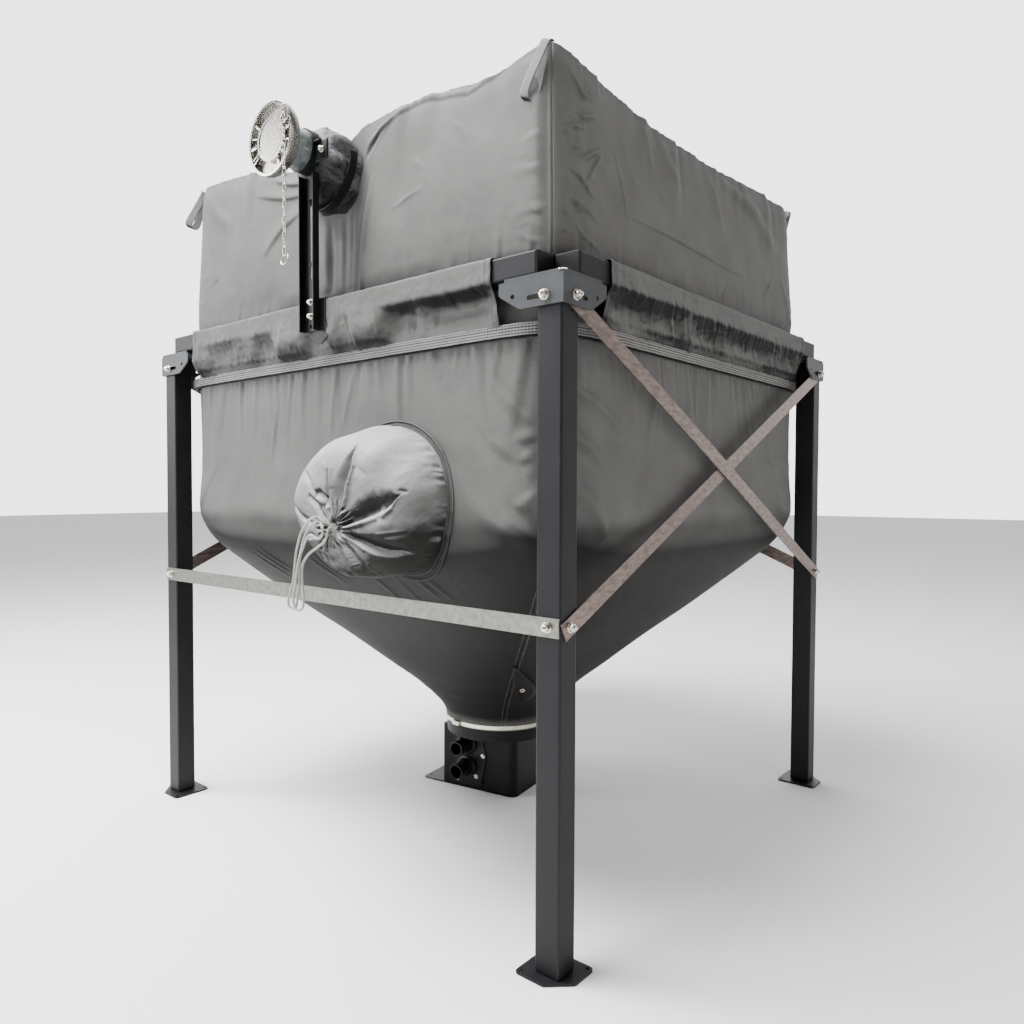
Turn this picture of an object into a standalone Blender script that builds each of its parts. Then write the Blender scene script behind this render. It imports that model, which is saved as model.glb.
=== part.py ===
"""Textile pellet silo on a four-legged steel frame.

Metres, +Z up. The origin is on the floor, on the axis of the round neck of the bag.
The front, with the filling coupling and the inspection sock, faces -Y.
"""
import math

import bmesh
import bpy
from mathutils import Matrix, Vector

# Frame
HALF = 0.78                 # half of the outer width over the legs
LEG = 0.060                 # square tube of the legs
TUBE_ROUND = 0.004          # outer corner radius of the tubes
FOOT_THICK = 0.005
FOOT_OUT = 0.028            # foot plate beyond the outer faces of the leg
FOOT_SIZE = 0.120
FOOT_CHAMFER = 0.047
RAIL_TOP = 1.4953
RAIL_HIGH = 0.050
RAIL_WIDE = 0.060
RAIL_HALF_LENGTH = 0.7165
BRACKET_LOW = 1.377
BRACKET_HIGH = 0.060
BRACKET_REACH = 0.162
BRACKET_THICK = 0.0047
SEAT_THICK = 0.010
BOLT_TOP_Z = 1.395          # bolts in the slots of the brackets
BOLT_LOW_Z = 0.727          # bolts of the braces and of the tie bar on the legs
BOLT_IN = 0.030             # all of them from the outer faces of the leg
BAR_WIDE = 0.040
BAR_THICK = 0.003
BAR_END = 0.024             # flat bar beyond its bolt
BOW = 0.0042                # the outer brace springs over the inner one
GAP = 0.0003                # between pieces that touch
BRACKET_OUT = HALF + 2 * GAP + BAR_THICK + BRACKET_THICK    # the braces pass behind the flanges

# Bag
CLOTH = 0.003
SEWN_GAP = 0.0008           # between the bag and what is sewn to it
BAG_SPLIT_TOP = 1.4447      # wall to roof, level with the underside of the rails
BAG_SPLIT_LOW = 0.900       # wall to hopper
NECK_SEAM = 0.355           # hopper to neck cone
NECK_RADIUS = 0.1745
NECK_LOW = 0.236
RING_POINTS = 52
FRONT_SEAMS = (32, 45)      # a level's points at the two front corners

# Filling side
FILL_Z = 1.880
PIPE_RADIUS = 0.0508
PIPE_WALL = 0.002
CAP_RADIUS = 0.0905
CAP_FRONT = -0.918
CAP_BACK = -0.898
RING_BACK = -0.872
PIPE_INNER_END = -0.660
CLAMP_THICK = 0.0035
CLAMP_FRONT = -0.824
CLAMP_BACK = -0.799
POST_WIDE = 0.060
POST_DEEP = 0.020
POST_WALL = 0.003
POST_LOW = 1.420

# Rail sleeves
SLEEVE_HALF_LENGTH = 0.600
SLEEVE_OUT = HALF + GAP + CLOTH

# Hook plate and post, outside the front sleeve
HOOK_THICK = 0.0034
HOOK_BACK = -SLEEVE_OUT - GAP
POST_BACK = HOOK_BACK - HOOK_THICK - GAP

# Inspection sock
SOCK_RINGS = [              # y, centre x and z, half width and height, pull at the lower left
    (-0.6600, 0.2720, 0.9750, 0.181, 0.181, 0.00),
    (-0.7570, 0.2720, 0.9750, 0.185, 0.183, 0.00),
    (-0.7900, 0.2630, 0.9740, 0.194, 0.182, 0.05),
    (-0.8200, 0.2450, 0.9700, 0.203, 0.178, 0.13),
    (-0.8500, 0.2330, 0.9640, 0.204, 0.171, 0.20),
    (-0.8760, 0.2260, 0.9560, 0.190, 0.157, 0.20),
    (-0.8920, 0.2250, 0.9470, 0.161, 0.131, 0.15),
    (-0.9010, 0.2260, 0.9360, 0.114, 0.094, 0.07),
    (-0.9035, 0.2268, 0.9260, 0.062, 0.055, 0.00),
    (-0.9035, 0.2268, 0.9215, 0.024, 0.024, 0.00),
]
SOCK_POINTS = 28
SOCK_PULL_AT = math.radians(222.0)
SOCK_PULL_WIDE = math.radians(38.0)

# Outlet
OUTLET_TURN = math.radians(9.6)
BOX_LEFT, BOX_RIGHT = -0.170, 0.105
BOX_FRONT, BOX_BACK = -0.078, 0.170
BOX_TOP = 0.205
BOX_WALL = 0.003
BOX_ROUND = 0.026
BASE_LEFT = -0.250
BASE_THICK = 0.004
COLLAR_TOP = 0.262
COLLAR_RADIUS = NECK_RADIUS - CLOTH - 2 * GAP
NOZZLE_ALONG = -0.072
NOZZLE_Z = (0.151, 0.075)
NOZZLE_LONG = 0.072
NOZZLE_RADIUS = 0.0235
NOZZLE_BORE = 0.0200

CORNERS = {
    "front_left": (-1, -1),
    "front_right": (1, -1),
    "back_left": (-1, 1),
    "back_right": (1, 1),
}
SIDES = {"front": 0.0, "right": 90.0, "back": 180.0, "left": 270.0}


def clear_scene():
    for old in list(bpy.data.objects):
        bpy.data.objects.remove(old, do_unlink=True)


def new_collection(name):
    group = bpy.data.collections.new(name)
    bpy.context.scene.collection.children.link(group)
    return group


clear_scene()
PARTS = new_collection("pellet_silo")
CUTTERS = new_collection("cutters")


def material(name, colour, roughness, metallic):
    mat = bpy.data.materials.new(name)
    mat.use_nodes = True
    shader = mat.node_tree.nodes["Principled BSDF"]
    shader.inputs["Base Color"].default_value = (*colour, 1.0)
    shader.inputs["Roughness"].default_value = roughness
    shader.inputs["Metallic"].default_value = metallic
    return mat


ANTHRACITE = ((0.065, 0.065, 0.070), 0.45, 0.0)
BRACKET_GREY = ((0.105, 0.110, 0.120), 0.45, 0.0)
FLAT_STEEL = ((0.42, 0.40, 0.37), 0.40, 1.0)
BAG_CLOTH = ((0.130, 0.130, 0.128), 0.60, 0.0)
WEBBING = ((0.050, 0.050, 0.052), 0.75, 0.0)
STRING = ((0.45, 0.45, 0.44), 0.80, 0.0)
CAST_ALUMINIUM = ((0.72, 0.70, 0.68), 0.30, 1.0)
ZINC_PIPE = ((0.50, 0.55, 0.58), 0.40, 1.0)
BLACK_STEEL = ((0.018, 0.019, 0.024), 0.45, 0.0)
BLACK_PLASTIC = ((0.012, 0.012, 0.013), 0.35, 0.0)
BRIGHT_BAND = ((0.70, 0.68, 0.62), 0.25, 1.0)


def add_object(name, mesh, finish):
    thing = bpy.data.objects.new(name, mesh)
    PARTS.objects.link(thing)
    mesh.materials.clear()
    mesh.materials.append(material(name + "_finish", *finish))
    return thing


def as_cutter(thing):
    """Moves an object to the cutters: drawn as wire and never rendered."""
    PARTS.objects.unlink(thing)
    CUTTERS.objects.link(thing)
    thing.hide_render = True
    thing.display_type = "WIRE"
    return thing


def mesh_from(bm, name):
    mesh = bpy.data.meshes.new(name)
    bm.to_mesh(mesh)
    bm.free()
    return mesh


def box(name, low, high, finish, round_by=0.0, segments=2):
    """A box between two corners, with its edges rounded by a Bevel."""
    bm = bmesh.new()
    bmesh.ops.create_cube(bm, size=1.0)
    size = [high[i] - low[i] for i in range(3)]
    centre = [(high[i] + low[i]) / 2 for i in range(3)]
    bmesh.ops.scale(bm, vec=size, verts=bm.verts)
    bmesh.ops.translate(bm, vec=centre, verts=bm.verts)
    thing = add_object(name, mesh_from(bm, name), finish)
    if round_by:
        bevel = thing.modifiers.new("rounded_edges", "BEVEL")
        bevel.width = round_by
        bevel.segments = segments
    return thing


def cylinder(name, radius, low, high, finish, points=48):
    """An upright cylinder on the Z axis between two heights."""
    bm = bmesh.new()
    bmesh.ops.create_cone(
        bm, cap_ends=True, segments=points, radius1=radius, radius2=radius, depth=high - low)
    bmesh.ops.translate(bm, vec=(0, 0, (low + high) / 2), verts=bm.verts)
    return add_object(name, mesh_from(bm, name), finish)


def plate(name, outlines, thick, finish):
    """A flat plate in the XY plane: the first outline is its edge, the others are holes."""
    curve = bpy.data.curves.new(name, "CURVE")
    curve.dimensions = "2D"
    curve.fill_mode = "BOTH"
    curve.extrude = thick / 2
    for outline in outlines:
        spline = curve.splines.new("POLY")
        spline.points.add(len(outline) - 1)
        for point, (x, y) in zip(spline.points, outline):
            point.co = (x, y, 0, 1)
        spline.use_cyclic_u = True
    return meshed(name, curve, finish)


def meshed(name, curve, finish):
    """Turns a curve into a welded mesh object."""
    source = bpy.data.objects.new(name + "_curve", curve)
    PARTS.objects.link(source)
    graph = bpy.context.evaluated_depsgraph_get()
    mesh = bpy.data.meshes.new_from_object(source.evaluated_get(graph))
    place = source.matrix_world.copy()
    bpy.data.objects.remove(source, do_unlink=True)
    bm = bmesh.new()
    bm.from_mesh(mesh)
    bmesh.ops.remove_doubles(bm, verts=bm.verts, dist=0.00002)
    bm.to_mesh(mesh)
    bm.free()
    thing = add_object(name, mesh, finish)
    thing.matrix_world = place
    return thing


def tube_along(name, points, radius, finish, resolution=2):
    """A round tube through the points, with filled ends."""
    curve = bpy.data.curves.new(name, "CURVE")
    curve.dimensions = "3D"
    curve.bevel_depth = radius
    curve.bevel_resolution = resolution
    curve.use_fill_caps = True
    spline = curve.splines.new("POLY")
    spline.points.add(len(points) - 1)
    for point, place in zip(spline.points, points):
        point.co = (*place, 1)
    return meshed(name, curve, finish)


def turned(name, profile, finish, steps=48):
    """Turns a closed profile of (radius, height) points about the Z axis."""
    bm = bmesh.new()
    ring = [bm.verts.new((r, 0, z)) for r, z in profile]
    for first, second in zip(ring, ring[1:]):
        bm.edges.new((first, second))
    if profile[0][0] > 0:
        bm.edges.new((ring[-1], ring[0]))
    thing = add_object(name, mesh_from(bm, name), finish)
    screw = thing.modifiers.new("turned", "SCREW")
    screw.steps = steps
    screw.render_steps = steps
    screw.use_merge_vertices = True
    screw.merge_threshold = 0.00005
    return thing


def circle(radius, centre=(0.0, 0.0), points=12):
    step = 2 * math.pi / points
    return [(centre[0] + radius * math.cos(i * step), centre[1] + radius * math.sin(i * step))
            for i in range(points)]


def slot(centre, length, width, points=6):
    """The outline of a slot that runs along X."""
    ends = []
    for side in (1, -1):
        middle = centre[0] + side * (length - width) / 2
        for i in range(points + 1):
            angle = math.pi * (i / points - 0.5) + (0 if side > 0 else math.pi)
            ends.append((middle + width / 2 * math.cos(angle),
                         centre[1] + width / 2 * math.sin(angle)))
    return ends


def rounded(corners, points=5):
    """An outline from (x, y, radius) corners, each radius as an arc."""
    outline = []
    count = len(corners)
    for i, (x, y, radius) in enumerate(corners):
        here = Vector((x, y))
        back = (Vector(corners[i - 1][:2]) - here).normalized()
        ahead = (Vector(corners[(i + 1) % count][:2]) - here).normalized()
        if radius == 0:
            outline.append((x, y))
            continue
        half = back.angle(ahead) / 2
        centre = here + (back + ahead).normalized() * radius / math.sin(half)
        start = here + back * radius / math.tan(half) - centre
        end = here + ahead * radius / math.tan(half) - centre
        turn = start.angle_signed(end)
        for step in range(points + 1):
            arm = start.copy()
            arm.rotate(Matrix.Rotation(-turn * step / points, 2))
            outline.append(tuple(centre + arm))
    return outline


def apply_place(thing, matrix):
    """Moves the mesh itself, so that the object stays at the origin."""
    thing.data.transform(matrix)
    if matrix.determinant() < 0:
        thing.data.flip_normals()
    return thing


def cut(thing, cutter, operation="DIFFERENCE"):
    change = thing.modifiers.new("cut_by_" + cutter.name, "BOOLEAN")
    change.operation = operation
    change.object = cutter
    change.solver = "EXACT"
    return thing


def settle(thing):
    """Applies an object's modifiers, for a shape that others are cut or copied from."""
    graph = bpy.context.evaluated_depsgraph_get()
    mesh = bpy.data.meshes.new_from_object(thing.evaluated_get(graph))
    mesh.transform(thing.matrix_world)
    thing.modifiers.clear()
    thing.matrix_world = Matrix.Identity(4)
    thing.data = mesh
    return thing


def fuse(thing, *others):
    """Joins other closed shapes to the first and removes them."""
    for other in others:
        cut(thing, other, "UNION")
        settle(thing)
        bpy.data.objects.remove(other, do_unlink=True)
    return thing


def upright(side):
    """From the XY plane of a plate to the outer face of a side: X along it, Y up."""
    return Matrix.Rotation(math.radians(SIDES[side]), 4, "Z") @ Matrix.Rotation(math.pi / 2, 4, "X")


# Legs, feet and brackets
def leg(name, sx, sy):
    low = (HALF - LEG, HALF - LEG, FOOT_THICK + GAP)
    high = (HALF, HALF, BRACKET_LOW + BRACKET_HIGH - 0.002 - GAP)
    thing = box("leg_" + name, low, high, ANTHRACITE, TUBE_ROUND)
    return apply_place(thing, Matrix.Diagonal((sx, sy, 1, 1)))


def foot(name, sx, sy):
    out = HALF + FOOT_OUT
    inner = out - FOOT_SIZE
    hole = 0.011
    edge = rounded([
        (inner, inner, 0.010),
        (out, inner, 0.010),
        (out, out - FOOT_CHAMFER, 0.002),
        (out - FOOT_CHAMFER, out, 0.002),
        (inner, out, 0.010),
    ])
    holes = [circle(0.0045, place) for place in (
        (inner + hole, inner + hole), (out - hole, inner + hole), (inner + hole, out - hole))]
    thing = plate("foot_plate_" + name, [edge] + holes, FOOT_THICK, ANTHRACITE)
    apply_place(thing, Matrix.Translation((0, 0, FOOT_THICK / 2)))
    return apply_place(thing, Matrix.Diagonal((sx, sy, 1, 1)))


def bracket(name, sx, sy):
    """Two slotted flanges outside the leg and the seat that carries the rail ends."""
    outer = BRACKET_OUT
    reach = outer - BRACKET_REACH
    top = BRACKET_LOW + BRACKET_HIGH
    slot_long = 0.050
    flange_edge = rounded([
        (reach, top, 0.004),
        (reach, top - 0.027, 0.012),
        (reach + 0.054, BRACKET_LOW, 0.008),
        (outer, BRACKET_LOW, 0),
        (outer, top, 0),
    ])
    openings = [slot((outer - 0.064, BOLT_TOP_Z + 0.002), slot_long, 0.010),
                circle(0.005, (reach + 0.036, BOLT_TOP_Z + 0.010))]
    front = plate("corner_bracket_" + name, [flange_edge] + openings, BRACKET_THICK, BRACKET_GREY)
    stand = Matrix.Translation((0, outer - BRACKET_THICK / 2, 0)) @ Matrix.Rotation(math.pi / 2, 4, "X")
    apply_place(front, stand)
    other = add_object("flange", front.data.copy(), BRACKET_GREY)
    apply_place(other, Matrix.Rotation(math.pi / 2, 4, "Z") @ Matrix.Diagonal((1, -1, 1, 1)))
    lap = outer - 0.003
    seat_in = reach + 0.012
    inner = HALF - LEG + 0.0025
    seat = plate("seat", [[(seat_in, inner), (inner, inner), (inner, seat_in),
                           (lap, seat_in), (lap, lap), (seat_in, lap)]], SEAT_THICK, BRACKET_GREY)
    apply_place(seat, Matrix.Translation((0, 0, RAIL_TOP - RAIL_HIGH - GAP - SEAT_THICK / 2)))
    fuse(front, other, seat)
    return apply_place(front, Matrix.Diagonal((sx, sy, 1, 1)))


def rail(side):
    low = (-RAIL_HALF_LENGTH, -HALF, RAIL_TOP - RAIL_HIGH)
    high = (RAIL_HALF_LENGTH, -HALF + RAIL_WIDE, RAIL_TOP)
    thing = box("rail_" + side, low, high, ANTHRACITE, TUBE_ROUND)
    return apply_place(thing, Matrix.Rotation(math.radians(SIDES[side]), 4, "Z"))


# Flat bars
def flat_bar(name, side, start, end, bow, overrun):
    """A flat bar on the outer faces of the legs, between two bolts given as (along, height).

    bow is how far its middle springs outward over the bar that it crosses.
    """
    first, last = Vector(start), Vector(end)
    direction = (last - first).normalized()
    first -= direction * overrun
    last += direction * overrun
    length = (last - first).length
    cuts = 15 if bow else 0
    bm = bmesh.new()
    bmesh.ops.create_cube(bm, size=1.0)
    if cuts:
        along = [edge for edge in bm.edges if abs(edge.verts[0].co.x - edge.verts[1].co.x) > 0.5]
        bmesh.ops.subdivide_edges(bm, edges=along, cuts=cuts, use_grid_fill=True)
    for vert in bm.verts:
        stand = bow * math.sin(math.pi * (vert.co.x + 0.5)) ** 2
        vert.co = (vert.co.x * length, -HALF - GAP - stand - (0.5 - vert.co.y) * BAR_THICK,
                   vert.co.z * BAR_WIDE)
    thing = add_object(name, mesh_from(bm, name), FLAT_STEEL)
    middle = (first + last) / 2
    tilt = Matrix.Rotation(-math.atan2(direction.y, direction.x), 4, "Y")
    place = Matrix.Translation((middle.x, 0, middle.y)) @ tilt
    return apply_place(thing, Matrix.Rotation(math.radians(SIDES[side]), 4, "Z") @ place)


def braces(side):
    """The pair of crossed bars of one side, each from a bracket to the opposite leg."""
    reach = HALF - BOLT_IN
    flat_bar("brace_" + side + "_inner", side, (-reach, BOLT_LOW_Z), (reach, BOLT_TOP_Z), 0, BAR_END)
    flat_bar("brace_" + side + "_outer", side, (-reach, BOLT_TOP_Z), (reach, BOLT_LOW_Z), BOW, BAR_END)


# Bag
def ring(height, half, squareness, bulge=0.0, lift=0.0):
    """One level of the bag: a square with rounded corners that blends into a circle.

    squareness is the exponent of a superellipse, 2 for a circle. bulge swells the middle
    of each side, and lift raises the corners.
    """
    level = []
    crowding = 0.85 * (1 - 2 / squareness)      # more points at the corners
    for i in range(RING_POINTS):
        angle = 2 * math.pi * (i + 0.5) / RING_POINTS
        angle += crowding / 4 * math.sin(4 * angle)
        c, s = math.cos(angle), math.sin(angle)
        reach = (abs(c) ** squareness + abs(s) ** squareness) ** (-1 / squareness)
        swell = 1 + bulge * math.cos(2 * angle) ** 2
        corner = abs(math.sin(2 * angle)) ** 6
        level.append(Vector((half * reach * swell * c, half * reach * swell * s,
                             height + lift * corner)))
    return level


ROOF_LEVELS = [             # height, half width, squareness, side bulge, corner lift
    (BAG_SPLIT_TOP + GAP, 0.7165, 30, 0.000, 0.000),
    (1.504, 0.7165, 30, 0.000, 0.000),
    (1.530, 0.7200, 26, 0.010, 0.000),
    (1.600, 0.7200, 26, 0.024, 0.002),
    (1.700, 0.7150, 28, 0.028, 0.006),
    (1.800, 0.7080, 32, 0.020, 0.014),
    (1.880, 0.7030, 36, 0.004, 0.024),
    (1.925, 0.6950, 40, -0.022, 0.030),
]
ROOF_TOP_LEVELS = [         # the top panel, closing towards the middle
    (1.925 + GAP, 0.6947, 40, -0.022, 0.030),
    (1.940, 0.600, 12, 0.0, 0.014),
    (1.950, 0.450, 6, 0.0, 0.004),
    (1.956, 0.280, 4, 0.0, 0.0),
    (1.958, 0.120, 3, 0.0, 0.0),
]
WALL_LEVELS = [
    (BAG_SPLIT_LOW + GAP, 0.7500, 8.5, 0.0, 0.0),
    (0.960, 0.7570, 9, 0.0, 0.0),
    (1.080, 0.7500, 9, 0.0, 0.0),
    (1.220, 0.7450, 10, 0.0, 0.0),
    (1.333, 0.7380, 12, 0.0, 0.0),
    (1.352, 0.7365, 13, 0.0, 0.0),
    (1.400, 0.7265, 18, 0.0, 0.0),
    (1.430, 0.7165, 26, 0.0, 0.0),
    (BAG_SPLIT_TOP, 0.7165, 30, 0.0, 0.0),
]
NECK_LEVELS = [
    (NECK_LOW, NECK_RADIUS, 2, 0.0, 0.0),
    (COLLAR_TOP, NECK_RADIUS, 2, 0.0, 0.0),
    (0.292, 0.187, 2.1, 0.0, 0.0),
    (0.325, 0.211, 2.3, 0.0, 0.0),
    (NECK_SEAM, 0.238, 2.45, 0.0, 0.0),
]
HOPPER_LEVELS = [
    (NECK_SEAM + GAP, 0.2383, 2.45, 0.0, 0.0),
    (0.390, 0.273, 2.7, 0.0, 0.0),
    (0.434, 0.322, 3.0, 0.0, 0.0),
    (0.535, 0.425, 4.0, 0.0, 0.0),
    (0.637, 0.535, 5.0, 0.0, 0.0),
    (0.771, 0.672, 6.0, 0.0, 0.0),
    (0.838, 0.730, 7.0, 0.0, 0.0),
    (BAG_SPLIT_LOW, 0.7500, 8.5, 0.0, 0.0),
]


def panel_of(level, columns):
    """The points of a level from one corner seam to another, held back by a gap at both."""
    points = [level[i % RING_POINTS].copy() for i in columns]
    for end, beside in ((0, 1), (-1, -2)):
        points[end] += (points[beside] - points[end]).normalized() * GAP
    return points


def add_rows(bm, levels, grow=0.0, columns=None):
    """Joins the levels from the lowest up with quads, outside facing out."""
    rows = []
    for height, half, squareness, bulge, lift in levels:
        level = ring(height, half + grow, squareness, bulge, lift)
        if columns:
            level = panel_of(level, columns)
        rows.append([bm.verts.new(point) for point in level])
    for below, above in zip(rows, rows[1:]):
        for i, j in neighbours(len(below), columns):
            bm.faces.new((below[i], below[j], above[j], above[i]))
    return rows


def neighbours(count, columns):
    """Pairs of points that follow each other in a level, which closes unless it is a panel's."""
    return [(i, (i + 1) % count) for i in range(count - 1 if columns else count)]


def inner_levels(levels, closed_top):
    """The same levels one cloth thickness further in, level with the outer ones at open ends."""
    inner = []
    last = len(levels) - 1
    for i, (height, half, squareness, bulge, lift) in enumerate(levels):
        before, after = levels[max(i - 1, 0)], levels[min(i + 1, last)]
        rise, run = after[0] - before[0], after[1] - before[1]
        slope = math.hypot(rise, run)
        if i == 0 or (i == last and not closed_top):
            inner.append((height, half - CLOTH * slope / rise, squareness, bulge, lift))
        else:
            inner.append((height + CLOTH * run / slope, half - CLOTH * rise / slope,
                          squareness, bulge, lift))
    return inner


def shell(name, levels, closed_top=False, columns=None):
    """A cloth shell open at its foot, and at its top unless that is closed.

    columns, a range of a level's points, makes it the panel between two corner seams.
    """
    bm = bmesh.new()
    outer = add_rows(bm, levels, columns=columns)
    inner = add_rows(bm, inner_levels(levels, closed_top), columns=columns)
    for i, j in neighbours(len(outer[0]), columns):
        bm.faces.new((outer[0][j], outer[0][i], inner[0][i], inner[0][j]))
        if not closed_top:
            bm.faces.new((outer[-1][i], outer[-1][j], inner[-1][j], inner[-1][i]))
    if columns:
        for end in (0, -1):
            for low in range(len(levels) - 1):
                bm.faces.new((outer[low][end], outer[low + 1][end],
                              inner[low + 1][end], inner[low][end]))
    if closed_top:
        bm.faces.new(outer[-1])
        bm.faces.new(inner[-1])
    bmesh.ops.recalc_face_normals(bm, faces=bm.faces)
    if bm.calc_volume(signed=True) < 0:
        bmesh.ops.reverse_faces(bm, faces=bm.faces)
    return add_object(name, mesh_from(bm, name), BAG_CLOTH)


def solid_bag():
    """The filled bag, slightly larger all round, which trims what is sewn to the bag."""
    lower = NECK_LEVELS + HOPPER_LEVELS[1:] + WALL_LEVELS[1:-1]
    upper = ROOF_LEVELS[1:] + ROOF_TOP_LEVELS[1:]
    bm = bmesh.new()
    rows = add_rows(bm, lower + upper, grow=SEWN_GAP)
    bm.faces.new(rows[0][::-1])
    bm.faces.new(rows[-1])
    return as_cutter(add_object("bag_volume", mesh_from(bm, "bag_volume"), BAG_CLOTH))


def bag(pipe_hole):
    shell("bag_neck", NECK_LEVELS)
    shell("bag_hopper", HOPPER_LEVELS)
    shell("bag_wall", WALL_LEVELS)
    shell("bag_roof", ROOF_LEVELS, columns=range(FRONT_SEAMS[1], RING_POINTS + FRONT_SEAMS[0] + 1))
    front = shell("bag_roof_front", ROOF_LEVELS, columns=range(FRONT_SEAMS[0], FRONT_SEAMS[1] + 1))
    top = shell("bag_top", ROOF_TOP_LEVELS, closed_top=True)
    for panel in (front, top):
        cut(panel, pipe_hole)


BAG_FACE = 0.7170           # the bag's face inside the rails, out from the middle


def sleeve(side):
    """The sewn tunnel round a rail, whose skirt comes down to the stitched band."""
    outside = [
        (-0.7387, 1.333), (-0.7370, 1.352), (-0.7270, 1.400), (-BAG_FACE, 1.430),
        (-BAG_FACE, RAIL_TOP + GAP + CLOTH), (-SLEEVE_OUT, RAIL_TOP + GAP + CLOTH),
        (-SLEEVE_OUT, 1.438), (-0.7800, 1.400), (-0.7640, 1.362), (-0.7540, 1.352),
        (-0.7510, 1.333),
    ]
    tunnel = [
        (-HALF + RAIL_WIDE + GAP, RAIL_TOP + GAP), (-HALF - GAP, RAIL_TOP + GAP),
        (-HALF - GAP, 1.440), (-0.7770, 1.402), (-0.7620, 1.366), (-0.7405, 1.360),
        (-0.7300, 1.402), (-HALF + RAIL_WIDE + GAP, 1.434),
    ]
    thing = plate("rail_sleeve_" + side, [outside, tunnel], 2 * SLEEVE_HALF_LENGTH, BAG_CLOTH)
    across = Matrix(((0, 0, 1, 0), (1, 0, 0, 0), (0, 1, 0, 0), (0, 0, 0, 1)))
    return apply_place(thing, Matrix.Rotation(math.radians(SIDES[side]), 4, "Z") @ across)


LOOP_WIDE, LOOP_DEEP, LOOP_LONG = 0.026, 0.010, 0.108
LOOP_LEAN = math.radians(16.0)
LOOP_ALONG = 0.672          # the loop's tip, along its side from the middle
LOOP_OUT = 0.706            # and out from the middle
LOOP_TOP = 1.938


def hanging_loop(name, sx, sy, side, bag_volume):
    """A doubled webbing strap that hangs from a top corner of the roof."""
    thing = box("hanging_loop_" + name, (-LOOP_WIDE / 2, -LOOP_DEEP / 2, -LOOP_LONG),
                (LOOP_WIDE / 2, LOOP_DEEP / 2, 0), WEBBING, 0.0015, 1)
    settle(thing)
    lean = Matrix.Rotation(LOOP_LEAN, 4, "Y")
    along = LOOP_ALONG * (sx if side in ("front", "back") else sy)
    if side in ("back", "left"):
        along = -along
    tip = Matrix.Translation((along, -LOOP_OUT, LOOP_TOP))
    if along < 0:
        lean.invert()
    apply_place(thing, Matrix.Rotation(math.radians(SIDES[side]), 4, "Z") @ tip @ lean)
    return cut(thing, bag_volume)


def sock(bag_volume):
    """The gathered fabric tube of the inspection opening, as one full shape of rings."""
    bm = bmesh.new()
    rows = []
    for y, x, z, wide, high, pull in SOCK_RINGS:
        row = []
        for i in range(SOCK_POINTS):
            angle = 2 * math.pi * i / SOCK_POINTS
            reach = 1 - pull * math.exp(-((angle - SOCK_PULL_AT) / SOCK_PULL_WIDE) ** 2)
            row.append(bm.verts.new((x + wide * reach * math.cos(angle), y,
                                     z + high * reach * math.sin(angle))))
        rows.append(row)
    for back, front in zip(rows, rows[1:]):
        for i in range(SOCK_POINTS):
            j = (i + 1) % SOCK_POINTS
            bm.faces.new((back[i], back[j], front[j], front[i]))
    bm.faces.new(rows[0])
    bm.faces.new(rows[-1])
    bmesh.ops.recalc_face_normals(bm, faces=bm.faces)
    return cut(add_object("inspection_sock", mesh_from(bm, "inspection_sock"), BAG_CLOTH), bag_volume)


STRING_RADIUS = 0.003
STRING_ROUTE = [            # out of the gather, two hanging loops, and back into the gather
    (0.2310, -0.9040, 0.9225), (0.2310, -0.9130, 0.9232), (0.2288, -0.9220, 0.9268),
    (0.2230, -0.9300, 0.9325), (0.2140, -0.9350, 0.9380), (0.2020, -0.9370, 0.9405),
    (0.1880, -0.9365, 0.9395), (0.1740, -0.9345, 0.9345), (0.1608, -0.9316, 0.9264),
    (0.1358, -0.9286, 0.9044), (0.1198, -0.9256, 0.8784), (0.1068, -0.9236, 0.8474),
    (0.0998, -0.9226, 0.8114), (0.0930, -0.9226, 0.7774), (0.0800, -0.9216, 0.7500),
    (0.0705, -0.9200, 0.7340), (0.0705, -0.9185, 0.7190), (0.0840, -0.9170, 0.7125),
    (0.0970, -0.9160, 0.7190), (0.1005, -0.9150, 0.7390), (0.1040, -0.9130, 0.7650),
    (0.1058, -0.9126, 0.7904), (0.1068, -0.9136, 0.8234), (0.1138, -0.9146, 0.8544),
    (0.1318, -0.9166, 0.8914), (0.1598, -0.9196, 0.9184), (0.1850, -0.9230, 0.9300),
    (0.2050, -0.9290, 0.9300), (0.2200, -0.9370, 0.9260), (0.2320, -0.9425, 0.9170),
    (0.2345, -0.9440, 0.9050), (0.2260, -0.9440, 0.8950), (0.2110, -0.9430, 0.8925),
    (0.1950, -0.9405, 0.8970), (0.1778, -0.9370, 0.8985), (0.1590, -0.9350, 0.8830),
    (0.1348, -0.9326, 0.8464), (0.1208, -0.9306, 0.8134), (0.1118, -0.9296, 0.7774),
    (0.1020, -0.9276, 0.7490), (0.0990, -0.9256, 0.7310), (0.1050, -0.9240, 0.7160),
    (0.1185, -0.9225, 0.7120), (0.1310, -0.9210, 0.7220), (0.1325, -0.9206, 0.7420),
    (0.1290, -0.9206, 0.7700), (0.1268, -0.9206, 0.7960), (0.1290, -0.9196, 0.8250),
    (0.1460, -0.9166, 0.8490), (0.1820, -0.9170, 0.8690), (0.2060, -0.9180, 0.8810),
    (0.2185, -0.9205, 0.8925), (0.2235, -0.9215, 0.9040), (0.2245, -0.9178, 0.9138),
    (0.2245, -0.9110, 0.9184), (0.2245, -0.9041, 0.9192),
]


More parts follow.
